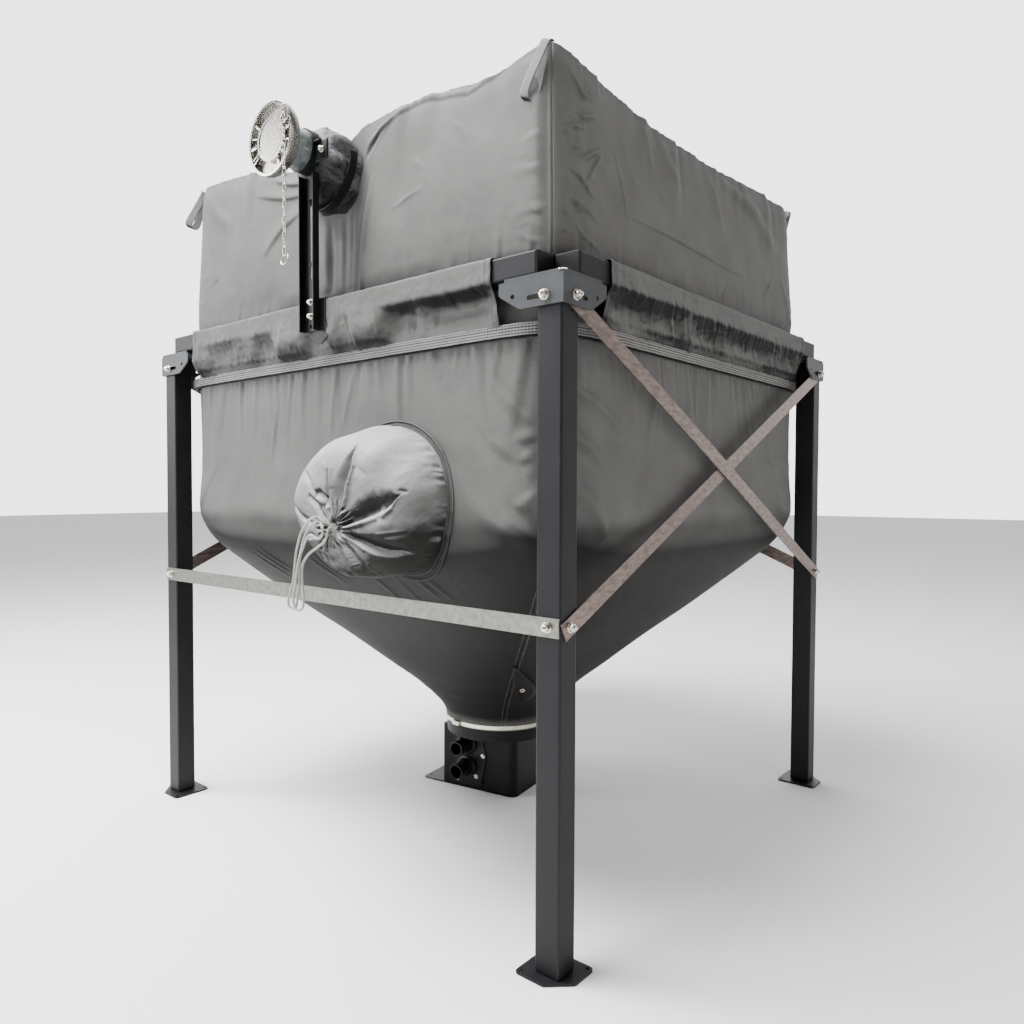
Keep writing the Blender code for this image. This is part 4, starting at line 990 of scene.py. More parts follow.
# %% Corner seam stitches
# pale thread of the corner seams
seam_thread = twisted_thread("pale_sewing_thread", "#8d8d8b", "#6f6f6d", "#a5a5a2",
                             Sheen_Weight=0.2)
SEAM_COLUMNS, SEAM_TOP = (5, -6), 1.3300
seam_rows = []
for side in SIDES:
    for name, shape in (("bag_panel_", lower_points.shape), ("roof_panel_", roof_points.shape)):
        spots = np.empty(math.prod(shape), np.float32)
        bpy.data.objects[name + side].data.vertices.foreach_get("co", spots)
        surface = spots.reshape(shape).astype(float)
        out = grid_normals(surface)
        for column in SEAM_COLUMNS:
            keep = (surface[:, column, 2] < SEAM_TOP) | (name == "roof_panel_")
            normals = out[keep, column]
            seam_rows.append((surface[keep, column] + 0.0002 * normals, normals))
stitches("corner_seam_stitches", seam_thread, seam_rows, 0.0056, 0.0036, 0.0011, 0.0006)

# %% Hanging loops
# woven webbing, paler than the bag and with a finer weave
webbing_finish = woven("loop_webbing", "#5c5c5b", "#8a8a88", thread=0.0016, depth=0.0004,
                       marks=0.4)
LOOP_SIDES = {"front_right": "front", "front_left": "left", "back_left": "left",
              "back_right": "back"}
LOOP_PATH = [(0.0060, 0.0150), (-0.0010, 0.0160), (-0.0065, 0.0120), (-0.0085, 0.0020),
             (-0.0100, -0.0250), (-0.0125, -0.0600), (-0.0115, -0.0950), (-0.0095, -0.1045),
             (-0.0050, -0.1075), (-0.0012, -0.1040), (-0.0002, -0.0940), (0.0000, -0.0500),
             (0.0020, -0.0100), (0.0040, 0.0150)]
LOOP_REACH, LOOP_LEAN, LOOP_WIDE, LOOP_THICK, LOOP_SPLAY = 0.684, 23.0, 0.024, 0.0022, 0.13
FLAT_RING = [(-0.5, 0.3), (-0.46, 0.5), (-0.2, 0.42), (0.2, 0.42), (0.46, 0.5), (0.5, 0.3)]
FLAT_RING += [(-across, -up) for across, up in FLAT_RING]


def strap(name, path):
    """A flat strip along a path in Y and Z, wide along X, whose two legs part downwards."""
    line, spots = even_line(path, 0.0030)
    ahead = unit(np.gradient(line, axis=0))
    leg = np.tanh((spots - spots[-1] * 0.52) / 0.012)
    across, up = np.transpose(FLAT_RING)
    y, z = (line[:, i, None] + out[:, None] * up * LOOP_THICK
            for i, out in enumerate((ahead[:, 1], -ahead[:, 0])))
    x = across * LOOP_WIDE - (leg * LOOP_SPLAY * line[:, 1])[:, None]
    rows = np.stack([x, y, z], axis=-1)
    piece = cloth_grid(name, rows, around=True, uv=spread_map(across * LOOP_WIDE, spots[:, None]))
    reshape(piece, close_ends(len(FLAT_RING)))
    return reshape(piece, face_out)


for name, side in LOOP_SIDES.items():
    loop = strap("loop_" + name, LOOP_PATH)
    sx, sy = CORNERS[name]
    reach = LOOP_REACH * {"front": sx, "back": -sx, "left": -sy}[side]
    lean = Matrix.Rotation(math.radians(math.copysign(LOOP_LEAN, reach)), 4, "Y")
    place = (Matrix.Rotation(math.radians(SIDES[side]), 4, "Z")
             @ Matrix.Translation((reach, -0.706, 1.938)))
    if name == "front_left":            # this one has swung out over the corner
        place = (Matrix.Translation((-0.690, -0.690, 1.962))
                 @ Matrix.Rotation(math.radians(225), 4, "Z"))
        lean.invert()
    loop.data.transform(place @ lean)
    dress(loop, webbing_finish, "webbing", "hanging_loop_" + name)

# %% [markdown]
# ## Inspection sock
#
# A tube of cloth as wide as a pillow is sewn over a hole in the front wall, and its free end is
# drawn together by the string. Drawing it shut throws the cloth into deep folds that run from
# the knot to the seam. The sock starts as rings between the seam and the knot. Its surface is
# then read as a disc with the knot at the centre, and the big folds of the photograph are drawn on
# that disc: hollows between a soft and a sharp side, and lines of sharp valleys or soft ridges.

# %% Sock: rings, hollows and folds
SOCK_RINGS = [              # y, centre x and z, half width and height, pull at the lower left
    (-0.7570, 0.2720, 0.9750, 0.185, 0.183, 0.00), (-0.7900, 0.2630, 0.9740, 0.194, 0.182, 0.05),
    (-0.8200, 0.2450, 0.9700, 0.203, 0.178, 0.13), (-0.8500, 0.2330, 0.9640, 0.204, 0.171, 0.20),
    (-0.8760, 0.2260, 0.9560, 0.190, 0.157, 0.20), (-0.8920, 0.2250, 0.9470, 0.161, 0.131, 0.15),
    (-0.9010, 0.2260, 0.9360, 0.114, 0.094, 0.07), (-0.9035, 0.2268, 0.9260, 0.062, 0.055, 0.00),
    (-0.9035, 0.2268, 0.9215, 0.024, 0.024, 0.00), (-0.9020, 0.2268, 0.9215, 0.013, 0.013, 0.00),
    (-0.8985, 0.2268, 0.9215, 0.005, 0.005, 0.00), (-0.8960, 0.2268, 0.9215, 0.001, 0.001, 0.00),
]
SOCK_HOLLOWS = (            # x and y of the soft side, of the sharp side, depth, lip;
    # in thousandths, on a disc of radius 1
    ((0, 50, -25, 140, -14, 218, 35, 357, 97, 477, 155, 560),
     (30, 40, 80, 90, 108, 185, 130, 299, 176, 436, 168, 560), 19, 7),
    ((40, 20, 130, 79, 263, 150, 402, 190, 529, 184, 584, 135),
     (75, -2, 254, 3, 380, 18, 487, 30, 556, 68, 590, 128), 24, 7.5),
    ((92, -28, 259, -105, 401, -160, 520, -272, 592, -384, 626, -485),
     (110, -60, 263, -196, 373, -300, 455, -375, 525, -445, 620, -490), 21, 2.5),
    ((45, -90, 110, -240, 170, -420, 200, -560, 230, -720),
     (105, -130, 222, -280, 303, -438, 320, -580, 270, -730), 13, 3),
)
SOCK_FOLDS = creases((        # width, height, x and y of the points, in thousandths
    (13, -11, -200, 620, -130, 500, -88, 435, -70, 270, -64, 122),
    (30, 6, -160, 600, -100, 500, -55, 420, -40, 270),
    (15, -10, -442, 383, -307, 317, -240, 225, -170, 133),
    (20, -11, -240, 225, -160, 238, -95, 190, -66, 120), (16, 7, -200, 180, -150, 185, -105, 140),
    (16, -8, -300, 210, -200, 140, -120, 80), (11, -4.5, 586, 186, 612, 172, 654, 154),
    (12, 1.8, 422, -135, 537, -155, 641, -180), (16, -1.4, 422, -175, 537, -190, 641, -215),
    (13, -10, 14, -60, 69, -210, 116, -426, 130, -620),
    (13, -10, -69, -88, -85, -283, -53, -450, 15, -620),
    (14, -7, -120, -120, -160, -283, -140, -450), (22, -7, -200, -20, -400, -10, -600, 60),
    (22, -8, -200, -120, -380, -220, -520, -360), (80, 7, 260, 400, 380, 560, 520, 700),
    (60, 6, 250, -30, 400, -60, 560, -80),
))
SOCK_SEAM_RADIUS = 0.185


def hollow(x, y, soft_side, sharp_side, deep, lip):
    """A hollow between two lines: it sinks softly from one and ends at a lip on the other."""
    first, second = (resample(side, line_lengths(side),
                              np.linspace(0, line_lengths(side)[-1], 120))
                     for side in (np.reshape(soft_side, (-1, 2)) / 1000,
                                  np.reshape(sharp_side, (-1, 2)) / 1000))
    middle, half = (first + second) / 2, (second - first) / 2
    away = (x[..., None] - middle[:, 0]) ** 2 + (y[..., None] - middle[:, 1]) ** 2
    nearest = np.argmin(away, axis=-1)
    size = np.maximum(np.linalg.norm(half, axis=1), 0.012)[nearest]
    way = unit(half[nearest])
    across = ((x - middle[nearest, 0]) * way[..., 0]
              + (y - middle[nearest, 1]) * way[..., 1]) / size
    beyond = np.sqrt(np.maximum(np.min(away, axis=-1) - (across * size) ** 2, 0))
    full = np.sin(np.pi * np.clip((nearest + 4) / 127, 0, 1)) ** 0.5 * bell(beyond, 0.02)
    sink = step(across, -1.7, 0.75) * (1 - step(across, 0.50, 1.10))
    return full * (lip * bell(across - 1.25, 0.35) - deep * sink) / 1000


def wall_y(z):
    """Where the front wall or the funnel lies at a height."""
    return -np.interp(z, LOWER_LEVELS[:, 0], LOWER_LEVELS[:, 1])


print("sock:", len(SOCK_RINGS), "rings,", len(SOCK_HOLLOWS), "hollows,", len(SOCK_FOLDS), "folds")

# %% Sock: surface
fine = smooth_line(SOCK_RINGS, 20)
slope = line_lengths(fine[:, (0, 3)])
spots = np.linspace(0, slope[-1], 170)
y, centre_x, centre_z, half_x, half_z, pull = resample(fine, slope, spots).T[..., None]
angle = full_turn(420)[None, :]
reach = 1 - pull * bell(angle - math.radians(222), math.radians(38))
sock = np.stack(np.broadcast_arrays(centre_x + half_x * reach * np.cos(angle), y,
                                    centre_z + half_z * reach * np.sin(angle)), axis=-1)
knot_slope = slope[np.argmin(np.abs(fine[:, 3] - 0.007))]
disc = np.clip(1 - spots / knot_slope, 0, 1)[:, None]
disc_x, disc_y = disc * np.cos(angle), disc * np.sin(angle)
height = sum(crease(disc_x, disc_y, *fold, 1.4) for fold in SOCK_FOLDS)
height += sum(hollow(disc_x, disc_y, *made) for made in SOCK_HOLLOWS)
random = np.random.default_rng(77)
for number in range(34):                # small folds that run out of the knot
    at, long = random.uniform(0, 2 * math.pi), random.uniform(0.08, 0.26)
    bent = angle - at - 0.5 * smooth_noise(disc * 2 + number, 0 * disc, 78)
    across = np.angle(np.exp(1j * bent)) * disc
    inner = bell(across, random.uniform(0.008, 0.016)) * np.clip(1 - disc / long, 0, 1)
    height += random.choice([-1, 1]) * random.uniform(0.003, 0.007) * inner
knuckles = np.abs(np.sin(11 * angle + 2.2 * smooth_noise(angle * 2, disc * 9, 83))) ** 0.6
height += 0.0085 * (knuckles - 0.6) * step(disc, 0.010, 0.040) * (1 - step(disc, 0.12, 0.20))
height += pleats(angle * SOCK_SEAM_RADIUS, (1 - disc) * 0.30, 79, (0, 1.16), 0.020, 0.050,
                 0.0060, 0.0030)
height += 0.0050 * smooth_noise(disc_x * 4, disc_y * 4, 80)
height += 0.0016 * crumple(disc_x, disc_y, 0.28, 81)
height *= step(disc, 0.004, 0.050) * (1 - step(disc, 0.955, 1.0))
sock = sock + grid_normals(sock, around=True) * height[..., None]
sock[..., 1] = np.minimum(sock[..., 1], wall_y(sock[..., 2]) - 0.0006)
sock[0, :, 1] = wall_y(sock[0, :, 2]) - 0.0010
piece = cloth_grid("inspection_sock_cloth", sock, around=True,
                   uv=spread_map(angle * SOCK_SEAM_RADIUS, spots[:, None]))
# the sock's own cloth is thinner, paler and a little glossier than the bag's; its painted shade
# already starts on faces that look up, so the sock darkens towards its lower side
sock_finish = woven("sock_cloth", "#868987", "#b0b4b1", roughness=0.55, under="#121310",
                    turn=(0.56, -0.44))
dress(piece, sock_finish, "bag_cloth", "inspection_sock")

# %% The sock's sewn ring
RING_POINTS = 240


def ring_on_wall(radius, proud):
    """A ring round the sock's foot that follows the wall and stands proud of it."""
    turn = full_turn(RING_POINTS)
    x, z = 0.272 + radius * np.cos(turn), 0.975 + radius * 0.99 * np.sin(turn)
    return np.stack([x, wall_y(z) - proud, z], axis=1)


parts = [tube("piping", ring_on_wall(radius, proud), wire, 8, closed=True)
         for radius, proud, wire in ((0.1860, 0.0026, 0.0026), (0.1990, 0.0022, 0.0024))]
flange = np.stack([ring_on_wall(radius, 0.0016 + 0.0008 * (radius < 0.2))
                   for radius in np.linspace(0.184, 0.2005, 8)])
parts.append(cloth_grid("flange", flange, around=True,
                        uv=spread_map(np.arange(RING_POINTS) * 0.0051,
                                      np.linspace(0, 0.0245, 8)[:, None])))
for part in parts:
    reshape(part, face_out)
sock_ring = joined("sock_ring_seam", parts)
sock_ring.data.shade_smooth()
dress(sock_ring, bag_finish, "bag_cloth")
ring_rows = []
for radius in (0.1895, 0.1955):
    line = ring_on_wall(radius, 0.0026)
    line = np.concatenate([line, line[:1]])
    ring_rows.append((line, np.tile((0.0, -1.0, 0.0), (len(line), 1))))
stitches("sock_ring_stitches", thread_finish, ring_rows, 0.0064, 0.0046, 0.0020, 0.0010)

# %% [markdown]
# ## Filling sleeve
#
# Between the pipe clamp and the roof the cloth is gathered round the pipe like a sleeve round a
# wrist. It sags under its own weight, so the folds lie deeper at the bottom, and a black strap
# holds them. The rings of the sleeve grow from the clamp to the roof and sink a little on the way.

# %% Filling sleeve and its strap
FILL_Z = 1.880              # height of the filling pipe's middle
SLEEVE_PATH = [(-0.7955, 0.0535), (-0.7920, 0.0545), (-0.7860, 0.0600), (-0.7740, 0.0720),
               (-0.7590, 0.0800), (-0.7440, 0.0850), (-0.7280, 0.0890), (-0.7120, 0.0930),
               (-0.6980, 0.0960)]
path, path_spots = even_line(SLEEVE_PATH, 0.0014)
angle = full_turn(300)[None, :]
y, radius = path[:, :1], path[:, 1:]
free = step(path_spots, 0.006, 0.030)[:, None]
radius = radius + free * (0.0052 * np.sin(5 * angle + 38 * y + 1.2)
                          + 0.0022 * np.sin(9 * angle - 46 * y)
                          + 0.0050 * smooth_noise(angle * 1.2, y * 16, 90)
                          + 0.0030 * crumple(angle * 0.08, y, 0.024, 91)
                          + 0.0060 * np.clip(-np.sin(angle), 0, 1))
sag = 0.40 * np.clip(y + 0.785, 0, None)
gathered = np.stack(np.broadcast_arrays(radius * np.cos(angle), y,
                                        FILL_Z - sag + radius * np.sin(angle)), axis=-1)
piece = cloth_grid("fill_sleeve_cloth", gathered, around=True,
                   uv=spread_map(angle * 0.075, path_spots[:, None]))
# the gathered sleeve's coating shines more than the bag's, and its painted shade starts on faces
# that still look a little up
sleeve_finish = woven("gathered_sleeve_cloth", "#434444", "#7d7f80", roughness=0.38,
                      turn=(0.30, -0.60))
dress(piece, sleeve_finish, "bag_cloth", "fill_sleeve")

STRAP_WIDE, STRAP_THICK = 0.024, 0.0030
strap_finish = woven("black_strap", "#060607", "#111113", roughness=0.5, thread=0.0018)  # webbing
turn = np.radians(np.linspace(-205, 15, 90))
strap_line = np.stack([0.100 * np.cos(turn), -0.7300 + 0.010 * np.sin(turn * 1.5),
                       FILL_Z - 0.026 + 0.104 * np.sin(turn)], axis=1)
out = np.stack([np.cos(turn), 0 * turn, np.sin(turn)], axis=1)
rows = np.stack([strap_line + np.array([0, across * STRAP_WIDE, 0]) + out * up * STRAP_THICK
                 for across, up in ((-0.5, 0.4), (0.5, 0.4), (0.5, -0.4), (-0.5, -0.4))], axis=1)
edges = np.array([0, STRAP_WIDE, STRAP_WIDE + 0.002, 2 * STRAP_WIDE + 0.002])
piece = cloth_grid("fill_sleeve_strap", rows, around=True,
                   uv=spread_map(edges, line_lengths(strap_line)[:, None]))
smooth_by_angle(reshape(piece, face_out), 40)
dress(piece, strap_finish, "webbing")

# %% [markdown]
# ## Steel frame: powder coat and bare steel
#
# The legs and rails are square steel tube with an anthracite powder coat. Powder melts into a
# satin skin with a fine orange peel, so the shader gets a low bump of about one millimetre and
# faint clouds of dust. The braces are bare flat bar: drawn steel with streaks and a warm tarnish.
# These CAD parts already have the right shape, so they stay and only get a finish.

# %% Finishes of the frame
def coated_steel(name, dark, light, roughness):
    """Powder coat: a satin paint with a fine orange peel and faint dust."""
    made, tree, shader = new_finish(name, light, roughness, Specular_IOR_Level=0.22)
    cloud = noise(tree, object_place(tree), 6.0, Detail=5.0, Roughness=0.65)
    two_tones(tree, shader, cloud, dark, light, 0.30, 0.72)
    gloss(tree, shader, cloud, roughness - 0.07, roughness + 0.09)
    relief(tree, shader, noise(tree, object_place(tree), 650.0, Detail=1.0), 0.00006)
    return made


def bare_metal(name, dark, light, roughness, size, stretch=(1, 1, 1), depth=0.00003):
    """A bare metal whose colour and gloss change over patches of a size in metres."""
    made, tree, shader = new_finish(name, light, roughness, 1.0)
    place = add_node(tree, "Mapping", {"Vector": object_place(tree), "Scale": stretch}), "Vector"
    patches = noise(tree, place, 1 / size, Detail=6.0, Roughness=0.6)
    two_tones(tree, shader, patches, dark, light, 0.32, 0.68)
    gloss(tree, shader, patches, roughness - 0.10, roughness + 0.14)
    relief(tree, shader, noise(tree, place, 9 / size, Detail=3.0), depth)
    return made


def finish_nodes(finish, *starts):
    """Puts a finish on the CAD nodes whose names start so."""
    named = [node for name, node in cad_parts.items() if name.startswith(starts)]
    for node in named:
        node.data.materials.clear()
        node.data.materials.append(finish)
    print(finish.name, "on", len(named), "nodes")


# anthracite legs and rails, greyer brackets, and the black post, box and clamp
leg_finish = coated_steel("anthracite_powder_coat", "#0e0f12", "#17171a", 0.50)
bracket_finish = coated_steel("grey_powder_coat", "#2e3133", "#424446", 0.46)
black_coat = coated_steel("black_coated_steel", "#020203", "#060708", 0.50)
# drawn steel braces with a warm tarnish, and the zinc-plated tie bar
brace_steel = bare_metal("drawn_flat_steel", "#6a5b54", "#988882", 0.40, 0.030, (1, 1, 3.0))
zinc_plate = bare_metal("zinc_plated_flat_bar", "#767671", "#96958e", 0.36, 0.016)
# spangled zinc of the filling pipe, sand-cast aluminium of its coupling
pipe_zinc = bare_metal("galvanised_pipe", "#8d979c", "#c3cbce", 0.34, 0.020)
cast_metal = bare_metal("cast_aluminium", "#7f7d7a", "#bdbab5", 0.24, 0.0035, depth=0.00010)
# bright zinc of bolts and chain, and the stainless band round the neck
fastener_zinc = bare_metal("zinc_plated_fastener", "#b9b3a6", "#e3dfd6", 0.25, 0.006)
stainless = bare_metal("stainless_band", "#aaa596", "#d8d4c8", 0.24, 0.020, (1, 1, 6))
# moulded plastic of the nozzles, with a fine grain
plastic, tree, shader = new_finish("moulded_black_plastic", "#040405", 0.42,
                                   Specular_IOR_Level=0.3)
relief(tree, shader, noise(tree, object_place(tree), 900.0), 0.00005)

finish_nodes(leg_finish, "leg_", "rail_front", "rail_right", "rail_back", "rail_left",
             "foot_plate")
finish_nodes(bracket_finish, "corner_bracket")
finish_nodes(black_coat, "fill_post", "hook_plate", "pipe_clamp", "outlet_box", "outlet_base")
finish_nodes(brace_steel, "brace_")
finish_nodes(zinc_plate, "tie_bar")
finish_nodes(pipe_zinc, "fill_pipe")
finish_nodes(stainless, "neck_band")
finish_nodes(plastic, "nozzle_")

# %% [markdown]
# ## Tools for hard pieces
#
# Small hardware starts as a cylinder or a cube at its true size. Faces are picked in code by where
# they lie, then inset, extruded and bevelled as by hand. Each piece is made lying on the ground
# with its front upwards, and one matrix at the end turns it to face a side of the silo.

# %% Primitives, picked faces and turning a piece to a side
def rounded(piece, width, segments):
    """Bevels the edges of a piece, the sharp ones only."""
    bevel = piece.modifiers.new("rounded_edges", "BEVEL")
    bevel.width, bevel.segments = width, segments
    bevel.limit_method, bevel.angle_limit = "ANGLE", math.radians(40)
    return settle(piece)


def block(name, size, place, round_by=0.0008, segments=2):
    """A box of a size about a place, with its edges bevelled."""
    nothing_selected()
    bpy.ops.mesh.primitive_cube_add(size=1, location=place)
    piece = bpy.context.object
    piece.name = name
    piece.scale = size
    bpy.ops.object.transform_apply(location=True, rotation=True, scale=True)
    return rounded(piece, round_by, segments)


def disc(name, radius, thick, z=0, sides=40, round_by=0.0005, segments=2):
    """A disc or hexagon that stands at a height, with its edges bevelled."""
    nothing_selected()
    bpy.ops.mesh.primitive_cylinder_add(vertices=sides, radius=radius, depth=thick,
                                        location=(0, 0, z + thick / 2))
    piece = bpy.context.object
    piece.name = name
    return rounded(piece, round_by, segments)


def pick(piece, test):
    """Enters edit mode with just those faces selected whose centre and normal pass a test."""
    select_only(piece)
    bpy.context.tool_settings.mesh_select_mode = (False, False, True)
    for part in (piece.data.vertices, piece.data.edges):
        part.foreach_set("select", [False] * len(part))
    for face in piece.data.polygons:
        face.select = bool(test(face.center, face.normal))
    bpy.ops.object.mode_set(mode="EDIT")


def inset_and_raise(*steps):
    """Insets the picked faces and raises them, once for each pair (inset, height)."""
    for thickness, high in steps:
        if thickness:
            bpy.ops.mesh.inset(thickness=thickness, depth=0)
        if high:
            bpy.ops.mesh.extrude_region_move(TRANSFORM_OT_translate={"value": (0, 0, high)})
    bpy.ops.object.mode_set(mode="OBJECT")


def spun(name, profile, steps):
    """A turned piece: a profile of (radius, height) spun about the Z axis."""
    mesh = bpy.data.meshes.new(name)
    mesh.from_pydata([(radius, 0, height) for radius, height in profile],
                     [(i, i + 1) for i in range(len(profile) - 1)], [])
    piece = in_scene(name, mesh)
    select_only(piece)
    bpy.ops.object.mode_set(mode="EDIT")
    bpy.ops.mesh.select_all(action="SELECT")
    bpy.ops.mesh.spin(steps=steps, angle=2 * math.pi, center=(0, 0, 0), axis=(0, 0, 1))
    bpy.ops.object.mode_set(mode="OBJECT")
    return reshape(piece, face_out)


def about_z(degrees):
    return Matrix.Rotation(math.radians(degrees), 4, "Z")


def facing(degrees, x, y, z):
    """The matrix that turns a piece's top to face a side, at a place given as for the front."""
    return (about_z(degrees) @ Matrix.Translation((x, y, z))
            @ Matrix.Rotation(math.pi / 2, 4, "X"))


print("hard piece tools ready")

# %% [markdown]
# ## Bolts
#
# Every joint of the frame has the same zinc-plated M10 bolt: a washer, a hexagon nut with
# chamfered corners and a few turns of thread that stick out. The thread is a tube whose radius
# rises and falls, which reads as a thread at this size. One bolt is made and then copied to the
# brackets, the braces and the post.

# %% One bolt and its copies
WASHER_THICK = 0.0020


def bolt(name, washer, flats, high, thread, out):
    """A washer, a nut of a width across flats, and a thread that stands out of it."""
    plate = disc(name, washer, WASHER_THICK)
    nut = disc(name, flats / 2 / math.cos(math.pi / 6), high, WASHER_THICK, 6, 0.0011)
    pick(nut, lambda centre, normal: normal.z > 0.99 and centre.z > high)
    inset_and_raise(((flats / 2 - thread) * 0.75, -0.0009))
    turns = np.linspace(0.0018, WASHER_THICK + high + out, 20)
    width = thread - 0.0006 * (np.arange(20) % 2)
    width[-1] = thread * 0.72
    rod = tube(name, np.stack([0 * turns, 0 * turns, turns], axis=1), width, 16)
    whole = joined(name, [plate, nut, rod])
    smooth_by_angle(whole, 30)
    return whole


BRACKET_FACE, BAR_FACE, POST_FACE = -0.7883, -0.7833, -0.7903
places = []
for number, degrees in enumerate(SIDES.values()):
    for side in (-1, 1):
        spin_nut = Matrix.Rotation(0.7 * number + 0.4 * side, 4, "Z")
        places.append(facing(degrees, side * 0.7443, BRACKET_FACE, 1.397) @ spin_nut)
        places.append(facing(degrees, side * 0.750, BAR_FACE, 0.727) @ spin_nut)
bolts = copies(bolt("frame_bolts", 0.0115, 0.017, 0.0080, 0.0050, 0.0060), places)
dress(joined("frame_bolts.001", bolts), fastener_zinc, "flat_steel")

places = [facing(0, 0, POST_FACE, 1.4965), facing(0, 0, POST_FACE, 1.4600),
          facing(0, 0.0790, -0.8160, 1.8630)]
bolts = copies(bolt("post_bolts", 0.0085, 0.013, 0.0060, 0.0040, 0.0040), places)
dress(joined("post_bolts.001", bolts), fastener_zinc, "flat_steel")

# %% Rail ends and weld spots
caps = []
for degrees in SIDES.values():
    for side in (-1, 1):
        caps.append(block("rail_end_caps", (0.0024, 0.0590, 0.0490),
                          (side * 0.7178, -0.7500, 1.4703), 0.0011))
        caps[-1].data.transform(about_z(degrees))
dress(joined("rail_end_caps", caps), black_coat, "black_plastic")

WELD_CORNER, WELD_Z, WELD_RADIUS = 0.7838, 1.4418, 0.0042
welds = []
for sx, sy in CORNERS.values():
    for dx, dy in ((-0.004, 0.004), (0.0, 0.0), (0.004, -0.003)):
        nothing_selected()
        bpy.ops.mesh.primitive_ico_sphere_add(
            subdivisions=2, radius=WELD_RADIUS,
            location=(sx * (WELD_CORNER + dx), sy * (WELD_CORNER + dy), WELD_Z))
        bpy.context.object.scale = (1, 1, 0.55)
        welds.append(settle(bpy.context.object))
spots = joined("weld_spots", welds)
spots.data.shade_smooth()
dress(spots, fastener_zinc, "bracket_grey")

# %% [markdown]
# ## Coupling, cap and chain
#
# The lorry's hose is coupled to a cast aluminium ring, which a cap on a chain keeps closed. The
# cap is cast with a rim, a raised disc in the middle and ribs across the channel between them.
# It starts as a cylinder: the top is inset and extruded down to the channel, inset again and
# extruded up to the disc. Two stretches of the channel are deeper, where a hand grips the cap.
# The disc is left plain.

# %% Coupling cap
CAP_R, CAP_THICK, CAP_EDGE, RIM_WIDE = 0.0905, 0.0195, 0.0012, 0.0055
CHANNEL, DISC_R, GRIP_DEPTH = 0.0115, 0.0560, 0.0055
GRIPS = ((48, 138), (218, 292))         # degrees round the cap
RIBS = ((44, 0.006), (142, 0.006), (166, 0.004), (184, 0.011), (206, 0.004), (214, 0.005),
        (297, 0.010), (318, 0.004), (344, 0.005), (8, 0.008), (24, 0.004))   # degrees, width
cap = disc("cap_casting", CAP_R, CAP_THICK, sides=120, round_by=CAP_EDGE)
pick(cap, lambda centre, normal: normal.z > 0.999 and centre.z > CAP_THICK - 0.0001)
inset_and_raise((RIM_WIDE, -CHANNEL), (CAP_R - CAP_EDGE - RIM_WIDE - DISC_R, 0),
                (0.0014, CHANNEL - 0.0025), (0.0040, -0.0022), (0.0100, 0.0007))


def in_grip(centre, normal):
    """Whether a face lies on the channel's floor, where a hand grips the cap."""
    angle = math.degrees(math.atan2(centre.y, centre.x)) % 360
    on_floor = (abs(centre.z - (CAP_THICK - CHANNEL)) < 0.0003
                and DISC_R < math.hypot(centre.x, centre.y))
    return normal.z > 0.99 and on_floor and any(low < angle < high for low, high in GRIPS)


pick(cap, in_grip)
inset_and_raise((0, -GRIP_DEPTH))
parts = [cap]
for degrees, wide in RIBS:
    parts.append(block("rib", (0.0300, wide, CHANNEL + 0.001),
                       (0.0700, 0, CAP_THICK - CHANNEL / 2 - 0.0020), 0.0012))
    parts[-1].data.transform(about_z(degrees))
casting = joined("coupling_cap_casting", parts)
casting.data.transform(facing(0, 0, -0.8982, FILL_Z))
smooth_by_angle(casting, 32)
dress(casting, cast_metal, "cast_aluminium", "coupling_cap")

# %% Coupling ring
RING_PROFILE = [            # radius, height
    (0.0512, 0.0000), (0.0600, 0.0000), (0.0620, 0.0010), (0.0622, 0.0040), (0.0700, 0.0052),
    (0.0712, 0.0064), (0.0714, 0.0098), (0.0780, 0.0108), (0.0790, 0.0120), (0.0792, 0.0155),
    (0.0830, 0.0164), (0.0856, 0.0180), (0.0860, 0.0200), (0.0860, 0.0250), (0.0852, 0.0257),
    (0.0512, 0.0257), (0.0512, 0.0000)]
ring = spun("coupling_ring_casting", RING_PROFILE, 120)
ring.data.transform(facing(0, 0, -0.8720, FILL_Z))
smooth_by_angle(ring, 30)
dress(ring, cast_metal, "cast_aluminium", "coupling_ring")

# %% Chain and end ring
CHAIN_X, CHAIN_Y, CHAIN_TOP, LINK_STEP, END_RING_Z = 0.0705, -0.9262, 1.9280, 0.0190, 1.5660
LINK_LONG, LINK_WIDE, LINK_WIRE = 0.0235, 0.0085, 0.00125
turn = full_turn(20)
half_straight = (LINK_LONG - LINK_WIDE) / 2
oval = np.stack([LINK_WIDE / 2 * np.cos(turn), 0 * turn,
                 LINK_WIDE / 2 * np.sin(turn)
                 + half_straight * np.sign(np.round(np.sin(turn), 6))], axis=1)
places = []
for number in range(19):                # every second link is turned by a quarter
    swing = 0.0006 * math.sin(number * 1.7)
    place = Matrix.Translation((CHAIN_X + swing, CHAIN_Y, CHAIN_TOP - LINK_STEP * number))
    places.append(place @ about_z(25 + 90 * (number % 2)))
links = copies(tube("link", oval, LINK_WIRE, 8, closed=True), places)
turn = full_turn(36)
end_line = np.stack([CHAIN_X + 0.0130 * np.cos(turn), CHAIN_Y + 0.004 * np.sin(turn),
                     END_RING_Z + 0.0130 * np.sin(turn)], axis=1)
links.append(tube("end_ring", end_line, 0.0016, 10, closed=True))
chain = joined("cap_chain_links", links)
chain.data.shade_smooth()
dress(chain, fastener_zinc, "cast_aluminium", "cap_chain")

# %% Ear of the pipe clamp
ear = block("clamp_ear", (0.0500, 0.0070, 0.0500), (0.0730, -0.8125, 1.8620), 0.0034, 3)
band = block("clamp_ear", (0.0300, 0.0200, 0.0060), (0.0600, -0.8125, 1.8870), 0.0020)
clamp = joined("clamp_ear", [ear, band])
smooth_by_angle(clamp)
dress(clamp, black_coat, "black_steel")

